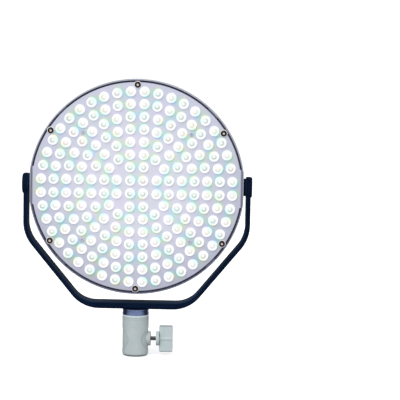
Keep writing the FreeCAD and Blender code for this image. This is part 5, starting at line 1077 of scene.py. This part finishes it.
class PANEL_OT_marks(bpy.types.Operator):
    """Print the scales of the dials and light the bars of the display"""

    bl_idname = "panel_light.marks"
    bl_label = "Scales and bars"

    def execute(self, context):
        sizes = context.scene.control_sizes
        ink = COVER_BACK / MM + INK_DEPTH / 2
        marks = []
        for node in ("dimmer_knob", "colour_knob"):
            low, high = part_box(node)
            spot = ((low.x + high.x) / 2, ink * MM, (low.z + high.z) / 2)
            for index in range(sizes.ticks):
                angle = math.degrees(sizes.sweep * (index / (sizes.ticks - 1) - 0.5))
                long = index in (0, sizes.ticks // 2, sizes.ticks - 1)
                width, reach = LONG_TICK if long else PLAIN_TICK
                tick = slab("tick", (width, INK_DEPTH, reach), (0, 0, SCALE_RADIUS + reach / 2))
                seat(tick, (0, angle, 0))
                marks.append(seat(tick, (0, 0, 0), spot))
        low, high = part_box("display_window")
        middle = (low.z + high.z) / 2 / MM
        bars = []
        for row, lit in BAR_ROWS:
            for index in range(BARS):
                tall = LIT_BAR if index < lit else DARK_BAR
                up = middle + row + (tall - LIT_BAR) / 2
                spot = (FIRST_BAR - BAR_SPACING * index, ink, up)
                bars.append(slab("bar", (BAR_WIDTH, INK_DEPTH, tall), spot))
        for name, pieces, finish, slot in (
            ("dial_scales", marks, "print_ink", "button_plastic"),
            ("display_bars", bars, "display_glow", "window_glass"),
        ):
            whole = joined(name, pieces)
            wear(whole, finish)
            fit_out(whole, "lamp", slot)
        return {"FINISHED"}


class PANEL_OT_finishes(bpy.types.Operator):
    """Give every solid of the frame its finish"""

    bl_idname = "panel_light.finishes"
    bl_label = "Finishes"

    def execute(self, context):
        mix_finishes()
        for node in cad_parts.values():
            slot = node.material_slots[0].material.name
            node.material_slots[0].material = FINISHES[slot]
        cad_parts["clamp_knob"].material_slots[0].material = FINISHES["knob_nylon"]
        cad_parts["rim_washers"].material_slots[0].material = FINISHES["pale_washer"]
        return {"FINISHED"}


# The camera, in metres, degrees and millimetres, as the photograph was taken.
CAMERA_PLACE = (0.1628, -3.0946, 0.5869)
CAMERA_TURN = (83.007, -0.923, 1.604)
CAMERA_LENS, CAMERA_SENSOR = 214.69, 36.0
# The size and the place of the two soft lights, and the point that both face, in metres.
KEY_SIZE, KEY_PLACE = (1.2, 0.9), (-0.7, -1.3, 1.7)
BACK_SIZE, BACK_PLACE = (1.4, 0.8), (0.6, 1.5, 1.5)
LIGHTS_AIM = (0, 0, 0.2)
# The room by height, from straight below to straight above: on matt surfaces, and in reflections.
MATT_AIR = [(0.0, (0.26, 0.26, 0.28, 1)), (0.5, (0.78, 0.78, 0.80, 1)), (1.0, (1.1, 1.1, 1.1, 1))]
GLOSS_AIR = [
    (0.0, (0.02, 0.02, 0.02, 1)),
    (0.50, (0.04, 0.04, 0.045, 1)),
    (0.66, (0.12, 0.13, 0.15, 1)),
    (0.90, (0.4, 0.4, 0.42, 1)),
]
# Strips of light to the front and the back, each by where it begins and ends and how strong it is.
MATT_AHEAD = {"From Min": 0.5, "From Max": -0.6, "To Min": 0.45, "To Max": 1.2}
GLOSS_AHEAD = {"From Min": 0.15, "From Max": -0.75, "To Max": 0.55}
GLOSS_BEHIND = {"From Min": 0.5, "From Max": 0.95, "To Max": 0.4}


def softbox(name, size, power, place):
    """A large soft light at a place, facing the object."""
    light = bpy.data.lights.new(name, "AREA")
    light.shape = "RECTANGLE"
    light.size, light.size_y = size
    light.energy = power
    box = bpy.data.objects.new(name, light)
    box.location = place
    box.rotation_euler = (Vector(LIGHTS_AIM) - Vector(place)).to_track_quat("-Z", "Y").to_euler()
    box.visible_camera = False
    bpy.context.collection.objects.link(box)


def studio_air():
    """The room: white to the camera, soft on matt surfaces and darker in reflections."""
    world = bpy.data.worlds.new("studio_air")
    bpy.context.scene.world = world
    world.use_nodes = True
    tree = world.node_tree
    tree.nodes.clear()
    parts = add(tree, SPLIT, links={"Vector": (add(tree, PLACE), "Generated")})
    rise = add(tree, RANGE, {"From Min": -1.0, "From Max": 1.0}, {"Value": (parts, "Z")})
    ahead, front, behind = (
        add(tree, RANGE, {**SMOOTH, **span}, {"Value": (parts, "Y")})
        for span in (MATT_AHEAD, GLOSS_AHEAD, GLOSS_BEHIND)
    )
    level = add(tree, MATH, PLUS, {0: (front, 0), 1: (behind, 0)})
    soft, on_gloss = (
        add(
            tree,
            MIX,
            {**COLOURS, "blend_type": blend, 0: 1.0},
            {FIRST: (add(tree, RAMP, {"stops": air}, {"Fac": (rise, 0)}), "Color"), SECOND: (way, 0)},
        )
        for blend, air, way in (("MULTIPLY", MATT_AIR, ahead), ("ADD", GLOSS_AIR, level))
    )
    ray = add(tree, "ShaderNodeLightPath")
    both = {0: (ray, "Is Glossy Ray"), FIRST: (soft, MIXED), SECOND: (on_gloss, MIXED)}
    reflected = add(tree, MIX, COLOURS, both)
    white = {**COLOURS, SECOND: (1, 1, 1, 1)}
    seen = add(tree, MIX, white, {0: (ray, "Is Camera Ray"), FIRST: (reflected, MIXED)})
    air = add(tree, "ShaderNodeBackground", links={"Color": (seen, MIXED)})
    add(tree, "ShaderNodeOutputWorld", links={"Surface": (air, "Background")})


class PANEL_OT_studio(bpy.types.Operator):
    """Set up the pale floor, the soft lights and the camera"""

    bl_idname = "panel_light.studio"
    bl_label = "Studio"

    def execute(self, context):
        sizes = context.scene.studio_sizes
        put_down()
        bpy.ops.mesh.primitive_plane_add(size=sizes.floor, location=(0, 0, 0))
        floor = bpy.context.object
        floor.name = "pale_floor"
        floor.data.materials.append(FINISHES["floor_paper"])
        floor.visible_diffuse = False
        floor.visible_glossy = False
        studio_air()
        softbox("key_light", KEY_SIZE, sizes.key, KEY_PLACE)
        softbox("back_light", BACK_SIZE, sizes.back, BACK_PLACE)
        camera = bpy.data.objects.new("camera", bpy.data.cameras.new("camera"))
        camera.data.sensor_width = CAMERA_SENSOR
        camera.data.lens = CAMERA_LENS
        camera.location = CAMERA_PLACE
        camera.rotation_euler = [math.radians(a) for a in CAMERA_TURN]
        context.collection.objects.link(camera)
        context.scene.camera = camera
        context.scene.view_settings.view_transform = "Standard"
        return {"FINISHED"}


# The operators in the order that main calls them.
OPERATORS = (
    PANEL_OT_finishes,
    PANEL_OT_lens_domes,
    PANEL_OT_rim_screws,
    PANEL_OT_small_screws,
    PANEL_OT_clamp_screw,
    PANEL_OT_dials,
    PANEL_OT_marks,
    PANEL_OT_studio,
)
GROUPS = {
    "lens_sizes": LensSizes,
    "screw_sizes": ScrewSizes,
    "control_sizes": ControlSizes,
    "studio_sizes": StudioSizes,
}


class PANEL_PT_light(bpy.types.Panel):
    """Lists the pieces of the panel light"""

    bl_idname = "PANEL_PT_light"
    bl_label = "Panel Light"
    bl_space_type = "VIEW_3D"
    bl_region_type = "UI"
    bl_category = "Panel Light"

    def draw(self, context):
        for group in GROUPS:
            sizes = getattr(context.scene, group)
            box = self.layout.box()
            for name in sizes.__annotations__:
                box.prop(sizes, name)
        for kind in OPERATORS:
            self.layout.operator(kind.bl_idname)


def register():
    for name, group in GROUPS.items():
        bpy.utils.register_class(group)
        setattr(bpy.types.Scene, name, bpy.props.PointerProperty(type=group))
    for kind in (*OPERATORS, PANEL_PT_light):
        bpy.utils.register_class(kind)


def unregister():
    for kind in reversed((*OPERATORS, PANEL_PT_light)):
        bpy.utils.unregister_class(kind)
    for name, group in GROUPS.items():
        delattr(bpy.types.Scene, name)
        bpy.utils.unregister_class(group)


def main():
    register()
    bpy.ops.panel_light.finishes()
    bpy.ops.panel_light.lens_domes()
    bpy.ops.panel_light.rim_screws()
    bpy.ops.panel_light.small_screws()
    bpy.ops.panel_light.clamp_screw()
    bpy.ops.panel_light.dials()
    bpy.ops.panel_light.marks()
    bpy.ops.panel_light.studio()


if __name__ == "__main__":
    main()
